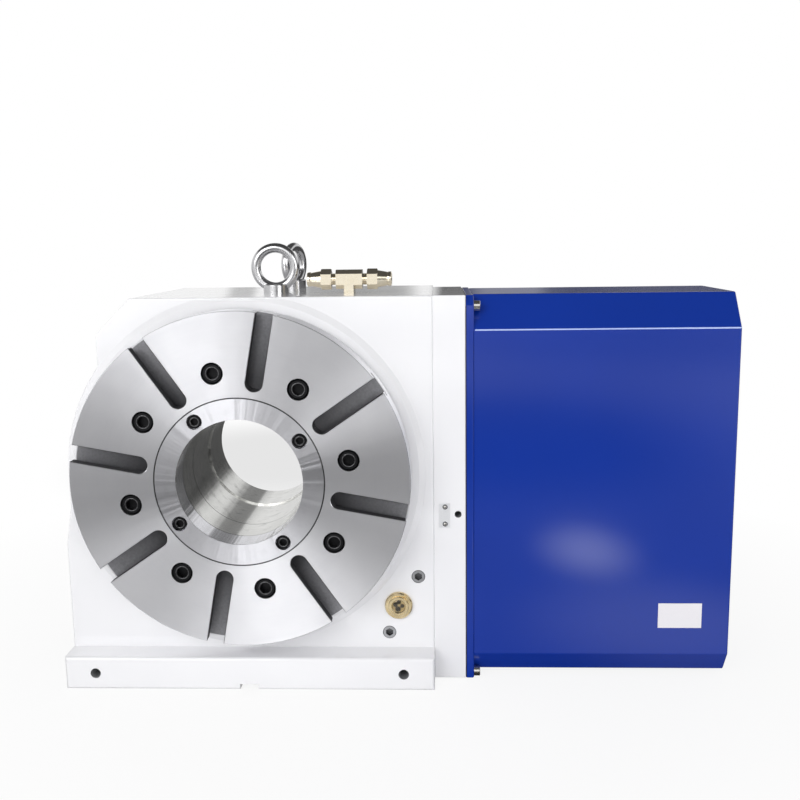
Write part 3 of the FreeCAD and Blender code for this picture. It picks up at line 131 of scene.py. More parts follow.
def axesOf(tree, place):
    # a place's three measures, by the names X, Y and Z
    return addNode(tree, "ShaderNodeSeparateXYZ", {}, {0: place}).outputs


def dressShader(tree, shader, look, tone, grain, bump, spread, span=(0.0, 1.0)):
    # the look's two colours by the tone, its roughness spread over a span of the grain, and the bump
    tint = addNode(tree, "ShaderNodeMix", {
        "data_type": "RGBA", 6: toLinear(look["colour"]), 7: toLinear(look["shade"]),
    }, {0: tone.outputs[0]})
    gloss = addNode(tree, "ShaderNodeMapRange", {
        **fromRange(*span), "To Min": look["roughness"] - spread, "To Max": look["roughness"] + spread,
    }, {"Value": grain.outputs[0]})
    tree.links.new(tint.outputs[2], shader.inputs["Base Color"])
    tree.links.new(gloss.outputs[0], shader.inputs["Roughness"])
    tree.links.new(bump.outputs[0], shader.inputs["Normal"])


def stainWith(material, share, hexColour):
    # lays a colour over the material's own by a share
    tree = material.node_tree
    colour = tree.nodes["Principled BSDF"].inputs["Base Color"]
    tint = addNode(tree, "ShaderNodeMix", {"data_type": "RGBA", 7: toLinear(hexColour)},
                   {0: share, 6: colour.links[0].from_socket})
    tree.links.new(tint.outputs[2], colour)


def giveMaterial(material, *names):
    for name in names:
        slots = nodes[name].material_slots
        if not slots:
            nodes[name].data.materials.append(material)
        for slot in slots:
            slot.material = material


# Gloss enamel sprayed over filler: a faint orange peel in the gloss, and broad soft waves where it was filled
def makeEnamel(name, look):
    material, tree, shader, place = startMaterial(name)
    peel = addNode(tree, "ShaderNodeTexNoise", {"Scale": perMm(look["peelMm"]), "Detail": 2.0}, {"Vector": place})
    waves = addNode(tree, "ShaderNodeTexNoise", {"Scale": perMm(look["waveMm"]), "Detail": 1.0}, {"Vector": place})
    broad = addNode(tree, "ShaderNodeBump", {"Strength": 1.0, "Distance": look["waveDepthMm"] * mm},
                    {"Height": waves.outputs[0]})
    fine = addNode(tree, "ShaderNodeBump", {"Strength": 1.0, "Distance": look["peelDepthMm"] * mm},
                   {"Height": peel.outputs[0], "Normal": broad.outputs[0]})
    shader.inputs["IOR"].default_value = 1.5
    shader.inputs["Coat Weight"].default_value = look["coat"]
    shader.inputs["Coat Roughness"].default_value = look["coatRoughness"]
    dressShader(tree, shader, look, waves, peel, fine, spread=0.04)
    tree.links.new(fine.outputs[0], shader.inputs["Coat Normal"])
    return material


whiteEnamel = makeEnamel("whiteGlossEnamel", {
    "colour": "#F4F4F6", "shade": "#EFEFF2", "roughness": 0.30, "coat": 1.0, "coatRoughness": 0.02,
    "peelMm": 1.6, "peelDepthMm": 0.005, "waveMm": 60.0, "waveDepthMm": 0.08,
})
blueEnamel = makeEnamel("blueGlossEnamel", {
    "colour": "#0B349D", "shade": "#093093", "roughness": 0.15, "coat": 0.3, "coatRoughness": 0.05,
    "peelMm": 2.0, "peelDepthMm": 0.002, "waveMm": 110.0, "waveDepthMm": 0.25,
})

# A painted highlight: a pale line along the cover's upper crease, where the bend of the sheet catches the light
creaseHighlightLook = {"heightMm": 137.3, "innerMm": 0.34, "outerMm": 0.85, "frontMm": 37.2, "flangeMm": 221.0, "share": 0.9,
              "colour": "#B9CBFA"}
creaseTree, creasePlace = reopen(blueEnamel)
creaseAxes = axesOf(creaseTree, creasePlace)
creaseHighlight = nearLine(creaseTree, creaseAxes["Z"], creaseHighlightLook["heightMm"] * mm, creaseHighlightLook["innerMm"] * mm,
                      creaseHighlightLook["outerMm"] * mm, creaseHighlightLook["share"])
for test, axis, limit in (("LESS_THAN", "Y", "frontMm"), ("GREATER_THAN", "X", "flangeMm")):
    creaseMask = addNode(creaseTree, "ShaderNodeMath", {"operation": test, 1: creaseHighlightLook[limit] * mm},
                         {0: creaseAxes[axis]})
    creaseHighlight = addNode(creaseTree, "ShaderNodeMath", {"operation": "MULTIPLY"},
                         {0: creaseHighlight, 1: creaseMask.outputs[0]}).outputs[0]
stainWith(blueEnamel, creaseHighlight, creaseHighlightLook["colour"])


# Turned or ground steel: the tool leaves rings about the axis, which smear each reflection across them into a fan,
# and its chatter leaves faint spokes. Real rings are 0.1 to 0.3 mm apart, so they are drawn coarser to show.
def makeTurnedSteel(name, look):
    material, tree, shader, place = startMaterial(name)
    axis = look.get("axis", "Y")
    centred = fromCentre(tree, place, look.get("centre", (0, 0, 0)))
    radius = acrossAxis(tree, centred, axis)
    rings = addNode(tree, "ShaderNodeTexNoise", {
        "noise_dimensions": "1D", "Scale": perMm(look["ringMm"]), "Detail": 3.0,
    }, {"W": radius})
    stretch, squeeze = 3.0, 0.2
    along = tuple(stretch if n == axis else squeeze for n in "XYZ")
    stretched = addNode(tree, "ShaderNodeMapping", {"Scale": along}, {"Vector": centred})
    feed = addNode(tree, "ShaderNodeTexNoise", {"Scale": perMm(look["feedMm"] * stretch), "Detail": 3.0},
                   {"Vector": stretched.outputs[0]})
    stain = addNode(tree, "ShaderNodeTexNoise", {"Scale": perMm(look["stainMm"]), "Detail": 4.0}, {"Vector": place})
    marks = addNode(tree, "ShaderNodeMath", {"operation": "MULTIPLY"}, {0: rings.outputs[0], 1: feed.outputs[0]})
    spoke = addNode(tree, "ShaderNodeVectorMath", {"operation": "NORMALIZE"}, {0: flatAcross(tree, centred, axis)})
    chatter = addNode(tree, "ShaderNodeTexNoise", {"Scale": look["chatterScale"], "Detail": 2.0},
                      {"Vector": spoke.outputs[0]})
    wave = addNode(tree, "ShaderNodeBump", {"Strength": 1.0, "Distance": look["chatterMm"] * mm},
                   {"Height": chatter.outputs[0]})
    bump = addNode(tree, "ShaderNodeBump", {"Strength": 1.0, "Distance": look["depthMm"] * mm},
                   {"Height": marks.outputs[0], "Normal": wave.outputs[0]})
    around = addNode(tree, "ShaderNodeTangent", {"direction_type": "RADIAL", "axis": axis})
    shader.inputs["Metallic"].default_value = 1.0
    shader.inputs["Anisotropic"].default_value = look["anisotropy"]
    shader.inputs["Anisotropic Rotation"].default_value = 0.25
    tree.links.new(around.outputs[0], shader.inputs["Tangent"])
    dressShader(tree, shader, look, stain, marks, bump, spread=0.05, span=(0.1, 0.5))
    return material


# Oil and dirt stay in joints: dark lines at depths and at radii given in millimetres, and thin stains between them
def soilJoints(material, look):
    tree, place = reopen(material)
    depth = axesOf(tree, place)["Y"]
    radius = acrossAxis(tree, place, "Y")
    dirt = addNode(tree, "ShaderNodeTexNoise", {"Scale": perMm(look["dirtMm"]), "Detail": 4.0}, {"Vector": place})
    dirt = addNode(tree, "ShaderNodeMapRange", {**fromRange(0.55, 0.85), "To Max": look["dirtShare"]},
                   {"Value": dirt.outputs[0]}).outputs[0]
    lines = [(depth, line, look.get("edgeLineMm", look["lineMm"])) for line in look.get("linesMm", ())]
    lines += [(radius, line, look["lineMm"]) for line in look.get("ringsMm", ())]
    core, darkest = 0.35, 0.9
    for measure, line, wide in lines:
        near = nearLine(tree, measure, line * mm, core * wide * mm, wide * mm, darkest)
        dirt = addNode(tree, "ShaderNodeMath", {"operation": "MAXIMUM"}, {0: dirt, 1: near}).outputs[0]
    stainWith(material, dirt, look["dirtColour"])
    return material


# The faceplate is ground on its face and turned on its rim, while its slots and counterbores are left as milled;
# painted shade darkens their walls and their blind ends, and the open floor is paler
def makeFaceplateSteel(name, look):
    material = makeTurnedSteel(name, look)
    tree, place = reopen(material)
    shader = tree.nodes["Principled BSDF"]
    depth = axesOf(tree, place)["Y"]
    radius = acrossAxis(tree, place, "Y")
    below = addNode(tree, "ShaderNodeMapRange", fromRange(*look["edgeMm"], mm), {"Value": depth})
    inside = addNode(tree, "ShaderNodeMapRange", fromRange(*look["rimMm"], mm), {"Value": radius})
    milled = addNode(tree, "ShaderNodeMath", {"operation": "MULTIPLY", "use_clamp": True},
                     {0: below.outputs[0], 1: inside.outputs[0]})
    grain = addNode(tree, "ShaderNodeTexNoise", {"Scale": perMm(look["millMm"]), "Detail": 4.0}, {"Vector": place})
    floor = addNode(tree, "ShaderNodeMix", {
        "data_type": "RGBA", 6: toLinear(look["milledColour"]), 7: toLinear(look["milledShade"]),
    }, {0: grain.outputs[0]})
    # Painted shade: the slot floors darken towards their blind inner ends, and the walls take the shaded wall colour
    blindShade = addNode(tree, "ShaderNodeMapRange", {
        **fromRange(*look["blindShadeMm"], mm), "To Min": look["blindShadeShare"], "To Max": 0.0,
    }, {"Value": radius})
    floor = addNode(tree, "ShaderNodeMix", {"data_type": "RGBA", 7: toLinear(look["shadedWallColour"])},
                    {0: blindShade.outputs[0], 6: floor.outputs[2]})
    deep = addNode(tree, "ShaderNodeMapRange", fromRange(*look["floorMm"], mm), {"Value": depth})
    dark = addNode(tree, "ShaderNodeMix", {"data_type": "RGBA", 6: toLinear(look["shadedWallColour"])},
                   {0: deep.outputs[0], 7: floor.outputs[2]})
    colour = addNode(tree, "ShaderNodeMix", {"data_type": "RGBA"}, {
        0: milled.outputs[0], 6: shader.inputs["Base Color"].links[0].from_socket, 7: dark.outputs[2],
    })
    gloss = addNode(tree, "ShaderNodeMix", {"data_type": "FLOAT", 3: look["milledRoughness"]}, {
        0: milled.outputs[0], 2: shader.inputs["Roughness"].links[0].from_socket,
    })
    metal = addNode(tree, "ShaderNodeMix", {"data_type": "FLOAT", 2: 1.0, 3: look["milledMetallic"]},
                    {0: milled.outputs[0]})
    tree.links.new(colour.outputs[2], shader.inputs["Base Color"])
    tree.links.new(gloss.outputs[0], shader.inputs["Roughness"])
    tree.links.new(metal.outputs[0], shader.inputs["Metallic"])
    return material


faceplateLook = {
    "colour": "#F4F4F7", "shade": "#ECECF0", "roughness": 0.55, "anisotropy": 0.95, "ringMm": 3.0, "feedMm": 1.5,
    "stainMm": 45.0, "depthMm": 0.003, "chatterScale": 5.0, "chatterMm": 0.25, "edgeMm": (0.8, 1.2),
    "rimMm": (159.3, 159.0), "floorMm": (16.0, 16.8), "blindShadeMm": (98.0, 156.0), "blindShadeShare": 0.8, "millMm": 2.0,
    "milledColour": "#9A9A9E", "milledShade": "#747478", "shadedWallColour": "#3A3A3D", "milledRoughness": 0.5,
    "milledMetallic": 0.35, "dirtMm": 40.0, "dirtShare": 0.03, "ringsMm": (80.3,), "lineMm": 0.55, "linesMm": (0.75,),
    "edgeLineMm": 0.5, "dirtColour": "#2E2E30",
}
faceplateSteel = soilJoints(makeFaceplateSteel("groundFaceplateSteel", faceplateLook), faceplateLook)
bushLook = {
    "colour": "#E6E6EA", "shade": "#D8D8DD", "roughness": 0.40, "anisotropy": 0.95, "ringMm": 2.5, "feedMm": 1.2,
    "stainMm": 30.0, "depthMm": 0.003, "chatterScale": 7.0, "chatterMm": 0.7, "dirtMm": 9.0, "dirtShare": 0.12,
    "linesMm": (28.0,), "ringsMm": (79.8,), "lineMm": 0.55, "dirtColour": "#2E2E30", "faceMm": 0.8, "wallMm": 1.6,
    "wallRoughness": 0.16,
}
bushSteel = soilJoints(makeTurnedSteel("turnedBushSteel", bushLook), bushLook)
# The bush's bore is reamed, smoother than its turned face
bushTree, bushPlace = reopen(bushSteel)
bushRoughness = bushTree.nodes["Principled BSDF"].inputs["Roughness"]
bushWall = addNode(bushTree, "ShaderNodeMapRange", fromRange(bushLook["faceMm"], bushLook["wallMm"], mm),
                   {"Value": axesOf(bushTree, bushPlace)["Y"]})
bushGloss = addNode(bushTree, "ShaderNodeMix", {"data_type": "FLOAT", 3: bushLook["wallRoughness"]},
                    {0: bushWall.outputs[0], 2: bushRoughness.links[0].from_socket})
bushTree.links.new(bushGloss.outputs[0], bushRoughness)
boreLook = {
    "colour": "#DCDCDA", "shade": "#C2C2BF", "roughness": 0.20, "anisotropy": 0.5, "ringMm": 2.5, "feedMm": 1.6,
    "stainMm": 24.0, "depthMm": 0.006, "chatterScale": 4.0, "chatterMm": 0.5, "dirtMm": 11.0, "dirtShare": 0.5,
    "linesMm": (28.0, 67.0), "lineMm": 0.9, "dirtColour": "#45443F",
}
boreSteel = soilJoints(makeTurnedSteel("boredSpindleSteel", boreLook), boreLook)
coverLook = {
    "colour": "#C4C4C7", "shade": "#B6B6B9", "roughness": 0.42, "anisotropy": 0.9, "ringMm": 3.0, "feedMm": 1.5,
    "stainMm": 40.0, "depthMm": 0.005, "chatterScale": 6.0, "chatterMm": 0.3,
}
coverSteel = makeTurnedSteel("turnedCoverSteel", coverLook)
endCoverSteel = makeTurnedSteel("turnedEndCoverSteel", {
    **coverLook, "axis": "X", "centre": (0, 115, -135), "ringMm": 2.0, "feedMm": 1.0, "stainMm": 25.0,
    "chatterMm": 0.15,
})
shaftLook = {
    "axis": "X", "centre": (0, 115, -135), "colour": "#C8C8CA", "shade": "#BBBBBD", "roughness": 0.28,
    "anisotropy": 0.5, "ringMm": 1.5, "feedMm": 1.0, "stainMm": 20.0, "depthMm": 0.003, "chatterScale": 4.0,
    "chatterMm": 0.05,
}
shaftSteel = makeTurnedSteel("groundShaftSteel", shaftLook)
rotorSteel = makeTurnedSteel("groundRotorSteel", {
    **shaftLook, "centre": (0, 115, -30), "colour": "#BDBDBF", "shade": "#A9A9AB", "roughness": 0.3,
})
print("enamels and turned steels made")


# Metal with an even finish: fine grain in the gloss, and slow changes of tone where it was plated, forged or handled
def makePlainMetal(name, look):
    material, tree, shader, place = startMaterial(name)
    grain = addNode(tree, "ShaderNodeTexNoise", {"Scale": perMm(look["grainMm"]), "Detail": 3.0}, {"Vector": place})
    tone = addNode(tree, "ShaderNodeTexNoise", {"Scale": perMm(look["toneMm"]), "Detail": 3.0}, {"Vector": place})
    bump = addNode(tree, "ShaderNodeBump", {"Strength": 1.0, "Distance": look["depthMm"] * mm},
                   {"Height": grain.outputs[0]})
    shader.inputs["Metallic"].default_value = look.get("metallic", 1.0)
    dressShader(tree, shader, look, tone, grain, bump, look["glossSpread"], span=(0.3, 0.7))
    return material


# Black oxide is a thin dark film on steel, oiled, so it is dark with a dull metal gloss
blackOxide = makePlainMetal("blackOxideSteel", {
    "colour": "#28282A", "shade": "#19191B", "roughness": 0.36, "glossSpread": 0.08, "metallic": 0.8,
    "grainMm": 0.6, "toneMm": 5.0, "depthMm": 0.01,
})
# Zinc plate over a drop forging is smooth and bright, with the forging's slow waves under it
zincSteel = makePlainMetal("zincPlatedForging", {
    "colour": "#D0D0D1", "shade": "#B4B4B6", "roughness": 0.21, "glossSpread": 0.03, "grainMm": 6.0, "toneMm": 14.0,
    "depthMm": 0.012,
})
# Stainless screws are polished by tumbling
stainlessSteel = makePlainMetal("tumbledStainless", {
    "colour": "#CFCDC9", "shade": "#B9B7B2", "roughness": 0.25, "glossSpread": 0.05, "grainMm": 0.5, "toneMm": 4.0,
    "depthMm": 0.005,
})
# Brass of the pipe fittings is pale and bright, turned and barrel polished
paleBrass = makePlainMetal("barrelPolishedBrass", {
    "colour": "#F8F0DE", "shade": "#EDE1C6", "roughness": 0.13, "glossSpread": 0.03, "grainMm": 0.8, "toneMm": 6.0,
    "depthMm": 0.002,
})
bearingSteel = makePlainMetal("polishedBearingSteel", {
    "colour": "#D2D2D4", "shade": "#C8C8CA", "roughness": 0.14, "glossSpread": 0.03, "grainMm": 0.8, "toneMm": 12.0,
    "depthMm": 0.001,
})
bronze = makePlainMetal("castBronze", {
    "colour": "#B98F52", "shade": "#A27A42", "roughness": 0.34, "glossSpread": 0.06, "grainMm": 0.9, "toneMm": 10.0,
    "depthMm": 0.008,
})
plugSteel = makePlainMetal("plainPlugSteel", {
    "colour": "#CBCCCF", "shade": "#AEAFB2", "roughness": 0.34, "glossSpread": 0.07, "grainMm": 0.6, "toneMm": 4.0,
    "depthMm": 0.01,
})
# Painted shade darkens the walls of the plugs' sockets, less on their floors, and a dark joint runs round their rims
plugLook = {"faceMm": 36.3, "socketShadeMm": 37.2, "socketShadeShare": 0.92, "clearMm": 40.6, "floorMm": 41.9, "floorShare": 0.72,
            "oilColour": "#1D1D1F", "rimMm": 6.5, "rimLineMm": 0.75, "rimShare": 0.9,
            "centres": ((165.5, 0, -104.0), (136.5, 0, -161.4))}
plugTree, plugPlace = reopen(plugSteel)
plugDepth = axesOf(plugTree, plugPlace)["Y"]
plugShadeAndJoint = addNode(plugTree, "ShaderNodeMapRange", {
    **fromRange(plugLook["faceMm"], plugLook["socketShadeMm"], mm), "To Max": plugLook["socketShadeShare"],
}, {"Value": plugDepth})
plugFloor = addNode(plugTree, "ShaderNodeMapRange", {
    **fromRange(plugLook["clearMm"], plugLook["floorMm"], mm), "To Min": 1.0, "To Max": plugLook["floorShare"],
}, {"Value": plugDepth})
plugShadeAndJoint = addNode(plugTree, "ShaderNodeMath", {"operation": "MULTIPLY"},
                  {0: plugShadeAndJoint.outputs[0], 1: plugFloor.outputs[0]}).outputs[0]
for centre in plugLook["centres"]:
    plugRadius = acrossAxis(plugTree, fromCentre(plugTree, plugPlace, centre), "Y")
    plugRim = nearLine(plugTree, plugRadius, plugLook["rimMm"] * mm, 0.0, plugLook["rimLineMm"] * mm,
                       plugLook["rimShare"])
    plugShadeAndJoint = addNode(plugTree, "ShaderNodeMath", {"operation": "MAXIMUM"}, {0: plugShadeAndJoint, 1: plugRim}).outputs[0]
# The oil colour here is the painted shade in the sockets and the dark joint round the rims
stainWith(plugSteel, plugShadeAndJoint, plugLook["oilColour"])
motorAlloy = makePlainMetal("paintedMotorAlloy", {
    "colour": "#4A4C50", "shade": "#3E4043", "roughness": 0.45, "glossSpread": 0.06, "metallic": 0.3,
    "grainMm": 1.2, "toneMm": 20.0, "depthMm": 0.02,
})
sightBrass = makeTurnedSteel("turnedSightBrass", {
    "centre": (146, 30, -133), "colour": "#FAEBC6", "shade": "#D0B47C", "roughness": 0.25, "anisotropy": 0.92,
    "ringMm": 0.8, "feedMm": 0.8, "stainMm": 6.0, "depthMm": 0.006, "chatterScale": 5.0, "chatterMm": 0.08,
})


# Moulded rubber and plastic: dull, with the fine grain of the mould
def makeMoulded(name, look):
    material, tree, shader, place = startMaterial(name)
    grain = addNode(tree, "ShaderNodeTexNoise", {"Scale": perMm(look["grainMm"]), "Detail": 3.0}, {"Vector": place})
    bump = addNode(tree, "ShaderNodeBump", {"Strength": 1.0, "Distance": look["depthMm"] * mm},
                   {"Height": grain.outputs[0]})
    shader.inputs["IOR"].default_value = look["ior"]
    dressShader(tree, shader, look, grain, grain, bump, spread=0.06)
    return material


sealRubber = makeMoulded("nitrileRubber", {
    "colour": "#1C1C1D", "shade": "#141415", "roughness": 0.6, "ior": 1.52, "grainMm": 0.7, "depthMm": 0.02,
})
blackPolyamide = makeMoulded("blackPolyamide", {
    "colour": "#242426", "shade": "#1B1B1D", "roughness": 0.45, "ior": 1.53, "grainMm": 0.5, "depthMm": 0.015,
})

# The two blank plates: a small one of anodised alloy on the adapter plate and a white vinyl one on the motor's cover
plateLook = {"splitMm": 300.0, "alloy": "#EDEEF0", "alloyShade": "#DCDDE0", "vinyl": "#F2F0F3",
             "vinylShade": "#E8E6EA", "grainMm": 0.7, "metalShare": 0.3, "smoothest": 0.32, "roughest": 0.44}
platePair, plateTree, plateShader, platePlace = startMaterial("anodisedAlloyAndVinyl")
plateIsVinyl = addNode(plateTree, "ShaderNodeMath", {"operation": "GREATER_THAN", 1: plateLook["splitMm"] * mm},
                       {0: axesOf(plateTree, platePlace)["X"]}).outputs[0]
plateGrain = addNode(plateTree, "ShaderNodeTexNoise", {"Scale": perMm(plateLook["grainMm"]), "Detail": 3.0},
                     {"Vector": platePlace}).outputs[0]
plateTints = [addNode(plateTree, "ShaderNodeMix", {
    "data_type": "RGBA", 6: toLinear(plateLook[kind]), 7: toLinear(plateLook[kind + "Shade"]),
}, {0: plateGrain}).outputs[2] for kind in ("alloy", "vinyl")]
plateTint = addNode(plateTree, "ShaderNodeMix", {"data_type": "RGBA"},
                    {0: plateIsVinyl, 6: plateTints[0], 7: plateTints[1]})
plateMetal = addNode(plateTree, "ShaderNodeMath", {
    "operation": "MULTIPLY_ADD", 1: -plateLook["metalShare"], 2: plateLook["metalShare"],
}, {0: plateIsVinyl})
plateGloss = addNode(plateTree, "ShaderNodeMapRange", {
    "To Min": plateLook["smoothest"], "To Max": plateLook["roughest"],
}, {"Value": plateGrain})
plateTree.links.new(plateTint.outputs[2], plateShader.inputs["Base Color"])
plateTree.links.new(plateMetal.outputs[0], plateShader.inputs["Metallic"])
plateTree.links.new(plateGloss.outputs[0], plateShader.inputs["Roughness"])

# Sight glass: clear soda glass, with a faint cast in its depth and faint smears
glassLook = {"colour": "#F4ECD8", "ior": 1.52, "smearMm": 4.0, "smearRoughness": 0.06}
sightGlass, glassTree, glassShader, glassPlace = startMaterial("clearSodaGlass")
glassSmear = addNode(glassTree, "ShaderNodeTexNoise", {"Scale": perMm(glassLook["smearMm"]), "Detail": 2.0},
                     {"Vector": glassPlace})
glassGloss = addNode(glassTree, "ShaderNodeMapRange", {"To Min": 0.0, "To Max": glassLook["smearRoughness"]},
                     {"Value": glassSmear.outputs[0]})
glassShader.inputs["Base Color"].default_value = toLinear(glassLook["colour"])
glassShader.inputs["IOR"].default_value = glassLook["ior"]
glassShader.inputs["Transmission Weight"].default_value = 1.0
glassTree.links.new(glassGloss.outputs[0], glassShader.inputs["Roughness"])

giveMaterial(whiteEnamel, "housing", "adapter_plate")
giveMaterial(blueEnamel, "motor_cover")
giveMaterial(faceplateSteel, "faceplate")
giveMaterial(bushSteel, "centre_bush")
giveMaterial(boreSteel, "spindle")
giveMaterial(coverSteel, "rear_cover", "seal_carrier", "front_spacer", "rear_spacer", "brake_disc_spacer", "brake_disc",
             "spindle_nut", "brake_friction_ring", "brake_piston")
giveMaterial(endCoverSteel, "worm_end_cover")
giveMaterial(shaftSteel, "worm_shaft", "worm_shaft_nuts", "worm_gear_spacer", "worm_drive_gear")
giveMaterial(rotorSteel, "motor_shaft", "motor_pinion", "worm_wheel_key")
giveMaterial(bearingSteel, "main_bearing_inner_ring", "main_bearing_rollers", "main_bearing_outer_ring",
             "rear_bearing_inner_ring", "rear_bearing_rollers", "rear_bearing_outer_ring", "worm_bearing_inner_rings",
             "worm_bearing_balls", "worm_bearing_outer_rings", "motor_bearings")
giveMaterial(blackOxide, "faceplate_screws", "centre_bush_screws", "seal_carrier_screws", "friction_ring_screws",
             "rear_cover_screws", "worm_end_cover_screws", "adapter_screws", "motor_screws")
giveMaterial(zincSteel, "eyebolts")
giveMaterial(stainlessSteel, "motor_cover_screws")
giveMaterial(bronze, "worm_wheel")
giveMaterial(paleBrass, "tee_fitting", "tee_nuts", "tee_sleeves")
giveMaterial(sightBrass, "sight_glass_bezel")
giveMaterial(sealRubber, "front_seal", "rear_seal", "worm_shaft_seal", "brake_piston_seals")
giveMaterial(sightGlass, "sight_glass_window")
giveMaterial(motorAlloy, "motor_flange", "motor_body")
giveMaterial(blackPolyamide, "motor_end_cap", "cable_gland", "cable_gland_nuts")
giveMaterial(plugSteel, "pipe_plugs")
giveMaterial(platePair, "blank_plates")
print("materials given to", len(nodes), "nodes")


def gridMesh(points, closeAcross=False, closeAlong=False):
    # a grid of points, rows by columns, joined into quads, with either direction closed on itself
    rows, columns = points.shape[:2]
    index = np.arange(rows * columns).reshape(rows, columns)
    if closeAlong:
        index = np.vstack([index, index[:1]])
    if closeAcross:
        index = np.hstack([index, index[:, :1]])
    quads = np.stack([index[:-1, :-1], index[:-1, 1:], index[1:, 1:], index[1:, :-1]], axis=-1).reshape(-1, 4)
    return points.reshape(-1, 3), quads


def makeObject(name, shells, material):
    # several grids in one mesh, in millimetres; poles are merged to one point, and closed shells then face outwards
    places = np.vstack([points for points, quads in shells])
    starts = np.cumsum([0] + [len(points) for points, quads in shells[:-1]])
    faces = np.vstack([quads + start for start, (points, quads) in zip(starts, shells)])
    mesh = bpy.data.meshes.new(name)
    mesh.from_pydata((places * mm).tolist(), [], faces.tolist())
    shape = bmesh.new()
    shape.from_mesh(mesh)
    bmesh.ops.remove_doubles(shape, verts=shape.verts, dist=0.0005 * mm)
    bmesh.ops.recalc_face_normals(shape, faces=shape.faces)
    shape.to_mesh(mesh)
    shape.free()
    mesh.polygons.foreach_set("use_smooth", np.ones(len(mesh.polygons), dtype=bool))
    mesh.materials.append(material)
    made = bpy.data.objects.new(name, mesh)
    bpy.context.scene.collection.objects.link(made)
    return made


def placePiece(name, shells, material, body):
    made = makeObject(name, shells, material)
    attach(made, body)
    print(name, "has", len(made.data.polygons), "faces")
    return made


def turnProfile(radius, along, columns, axis="Y"):
    # columns of radius and of distance along an axis, turned about that axis into a grid of points
    angle = np.linspace(0.0, 2 * np.pi, columns, endpoint=False)[None, :]
    along = along * np.ones_like(angle)
    across, up = radius * np.cos(angle), radius * np.sin(angle)
    return np.stack([along, across, up] if axis == "X" else [across, along, up], axis=-1)


def profileColumns(profile):
    # pairs of radius and distance as two columns
    return [np.array(column)[:, None] for column in zip(*profile)]


# Threads on the tee's necks. A triangle is wound about X: a point is at its turn along the helix and at its corner of
# the triangle, and the triangle shrinks to a point at both ends of the thread.
threadLook = {"centre": (99.0, 93.0, 183.8), "fromMm": 13.25, "toMm": 17.55, "coreMm": 5.45, "crestMm": 5.95,
              "pitchMm": 1.25, "halfBase": 0.4, "rootShare": -0.4, "fadeTurns": 0.5, "stepsPerTurn": 48}
threadTurns = (threadLook["toMm"] - threadLook["fromMm"]) / threadLook["pitchMm"] - 2 * threadLook["halfBase"]
threadTurn = np.linspace(0.0, threadTurns, int(threadTurns * threadLook["stepsPerTurn"]))[:, None]
threadGrow = np.clip(np.minimum(threadTurn, threadTurns - threadTurn) / threadLook["fadeTurns"], 0.0, 1.0)
threadCorner = np.array([-1.0, 0.0, 1.0, 0.0]) * threadLook["halfBase"]
threadOut = np.array([0.0, 1.0, 0.0, threadLook["rootShare"]]) * (threadLook["crestMm"] - threadLook["coreMm"])
threadAlong = threadLook["halfBase"] + threadTurn + threadCorner * threadGrow
threadAlong = threadLook["fromMm"] + threadLook["pitchMm"] * threadAlong
threadRadius = threadLook["coreMm"] + threadOut * threadGrow
threadAngle = 2 * np.pi * threadTurn
threadShells = []
for side in (-1.0, 1.0):
    points = np.stack([side * threadAlong, threadRadius * np.cos(threadAngle),
                       side * threadRadius * np.sin(threadAngle)], axis=-1)
    threadShells.append(gridMesh(points + np.array(threadLook["centre"]), closeAcross=True))
placePiece("teeThreads", threadShells, paleBrass, "base")

# Tapped holes show cut iron: a cup in each hole whose wall is a thread. The wall's radius is the drill's less a
# triangle wave of depth over pitch plus angle over a turn, and it opens to the drill's radius at the mouth.
cutIron = makePlainMetal("cutCastIron", {
    "colour": "#9A9B9E", "shade": "#6E6F72", "roughness": 0.36, "glossSpread": 0.08, "metallic": 0.3, "grainMm": 0.5,
    "toneMm": 3.0, "depthMm": 0.01,
})
tappedLook = {
    "holes": (((-151.0, 9.0, -193.5), 5.1, 22.0, 1.75), ((151.0, 9.0, -193.5), 5.1, 22.0, 1.75),
              ((204.5, 36.0, -41.0), 3.4, 16.0, 1.25)),
    "columns": 48, "rowsPerPitch": 6, "clearMm": 0.02, "mouthMm": 0.15, "leadMm": 0.3, "rootMm": 0.10,
    "threadShare": 0.32, "floorMm": 0.6, "wallMm": 0.05,
}
tappedAngle = np.linspace(0.0, 2 * np.pi, tappedLook["columns"], endpoint=False)
tappedShells = []
for mouth, drill, depth, pitch in tappedLook["holes"]:
    outer = drill - tappedLook["clearMm"]
    low = depth - tappedLook["floorMm"]
    back = depth - tappedLook["wallMm"]
    deep = np.arange(low, tappedLook["mouthMm"] + tappedLook["leadMm"], -pitch / tappedLook["rowsPerPitch"])[:, None]
    wave = np.abs(2 * np.mod(deep / pitch + tappedAngle / (2 * np.pi), 1.0) - 1)
    opening = np.clip((deep - tappedLook["mouthMm"]) / pitch, 0.0, 1.0)
    wall = drill - tappedLook["rootMm"] - tappedLook["threadShare"] * pitch * wave * opening
    ringRadius, ringDeep = profileColumns(((outer, tappedLook["mouthMm"]), (outer, back), (0.0, back), (0.0, low)))
    radius = np.vstack([ringRadius * np.ones_like(tappedAngle), wall])
    points = turnProfile(radius, np.vstack([ringDeep, deep]), tappedLook["columns"])
    tappedShells.append(gridMesh(points + np.array(mouth), closeAcross=True, closeAlong=True))
placePiece("tappedThreads", tappedShells, cutIron, "base")

# Lens of the sight glass: a profile of radius and depth turned about Y, domed in front, flat behind and clear of its
# seat
lensLook = {"centre": (146.0, 0.0, -133.0), "columns": 64,
            "profile": ((0.0, 31.4), (2.2, 31.46), (4.2, 31.64), (5.6, 31.9), (6.3, 32.15), (6.46, 32.4), (6.46, 34.0),
                        (6.4, 34.08), (6.2, 34.1), (0.0, 34.1))}
lensPoints = turnProfile(*profileColumns(lensLook["profile"]), lensLook["columns"]) + np.array(lensLook["centre"])
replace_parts(placePiece("sightLens", [gridMesh(lensPoints, closeAcross=True)], sightGlass, "base"),
            "sight_glass_window")

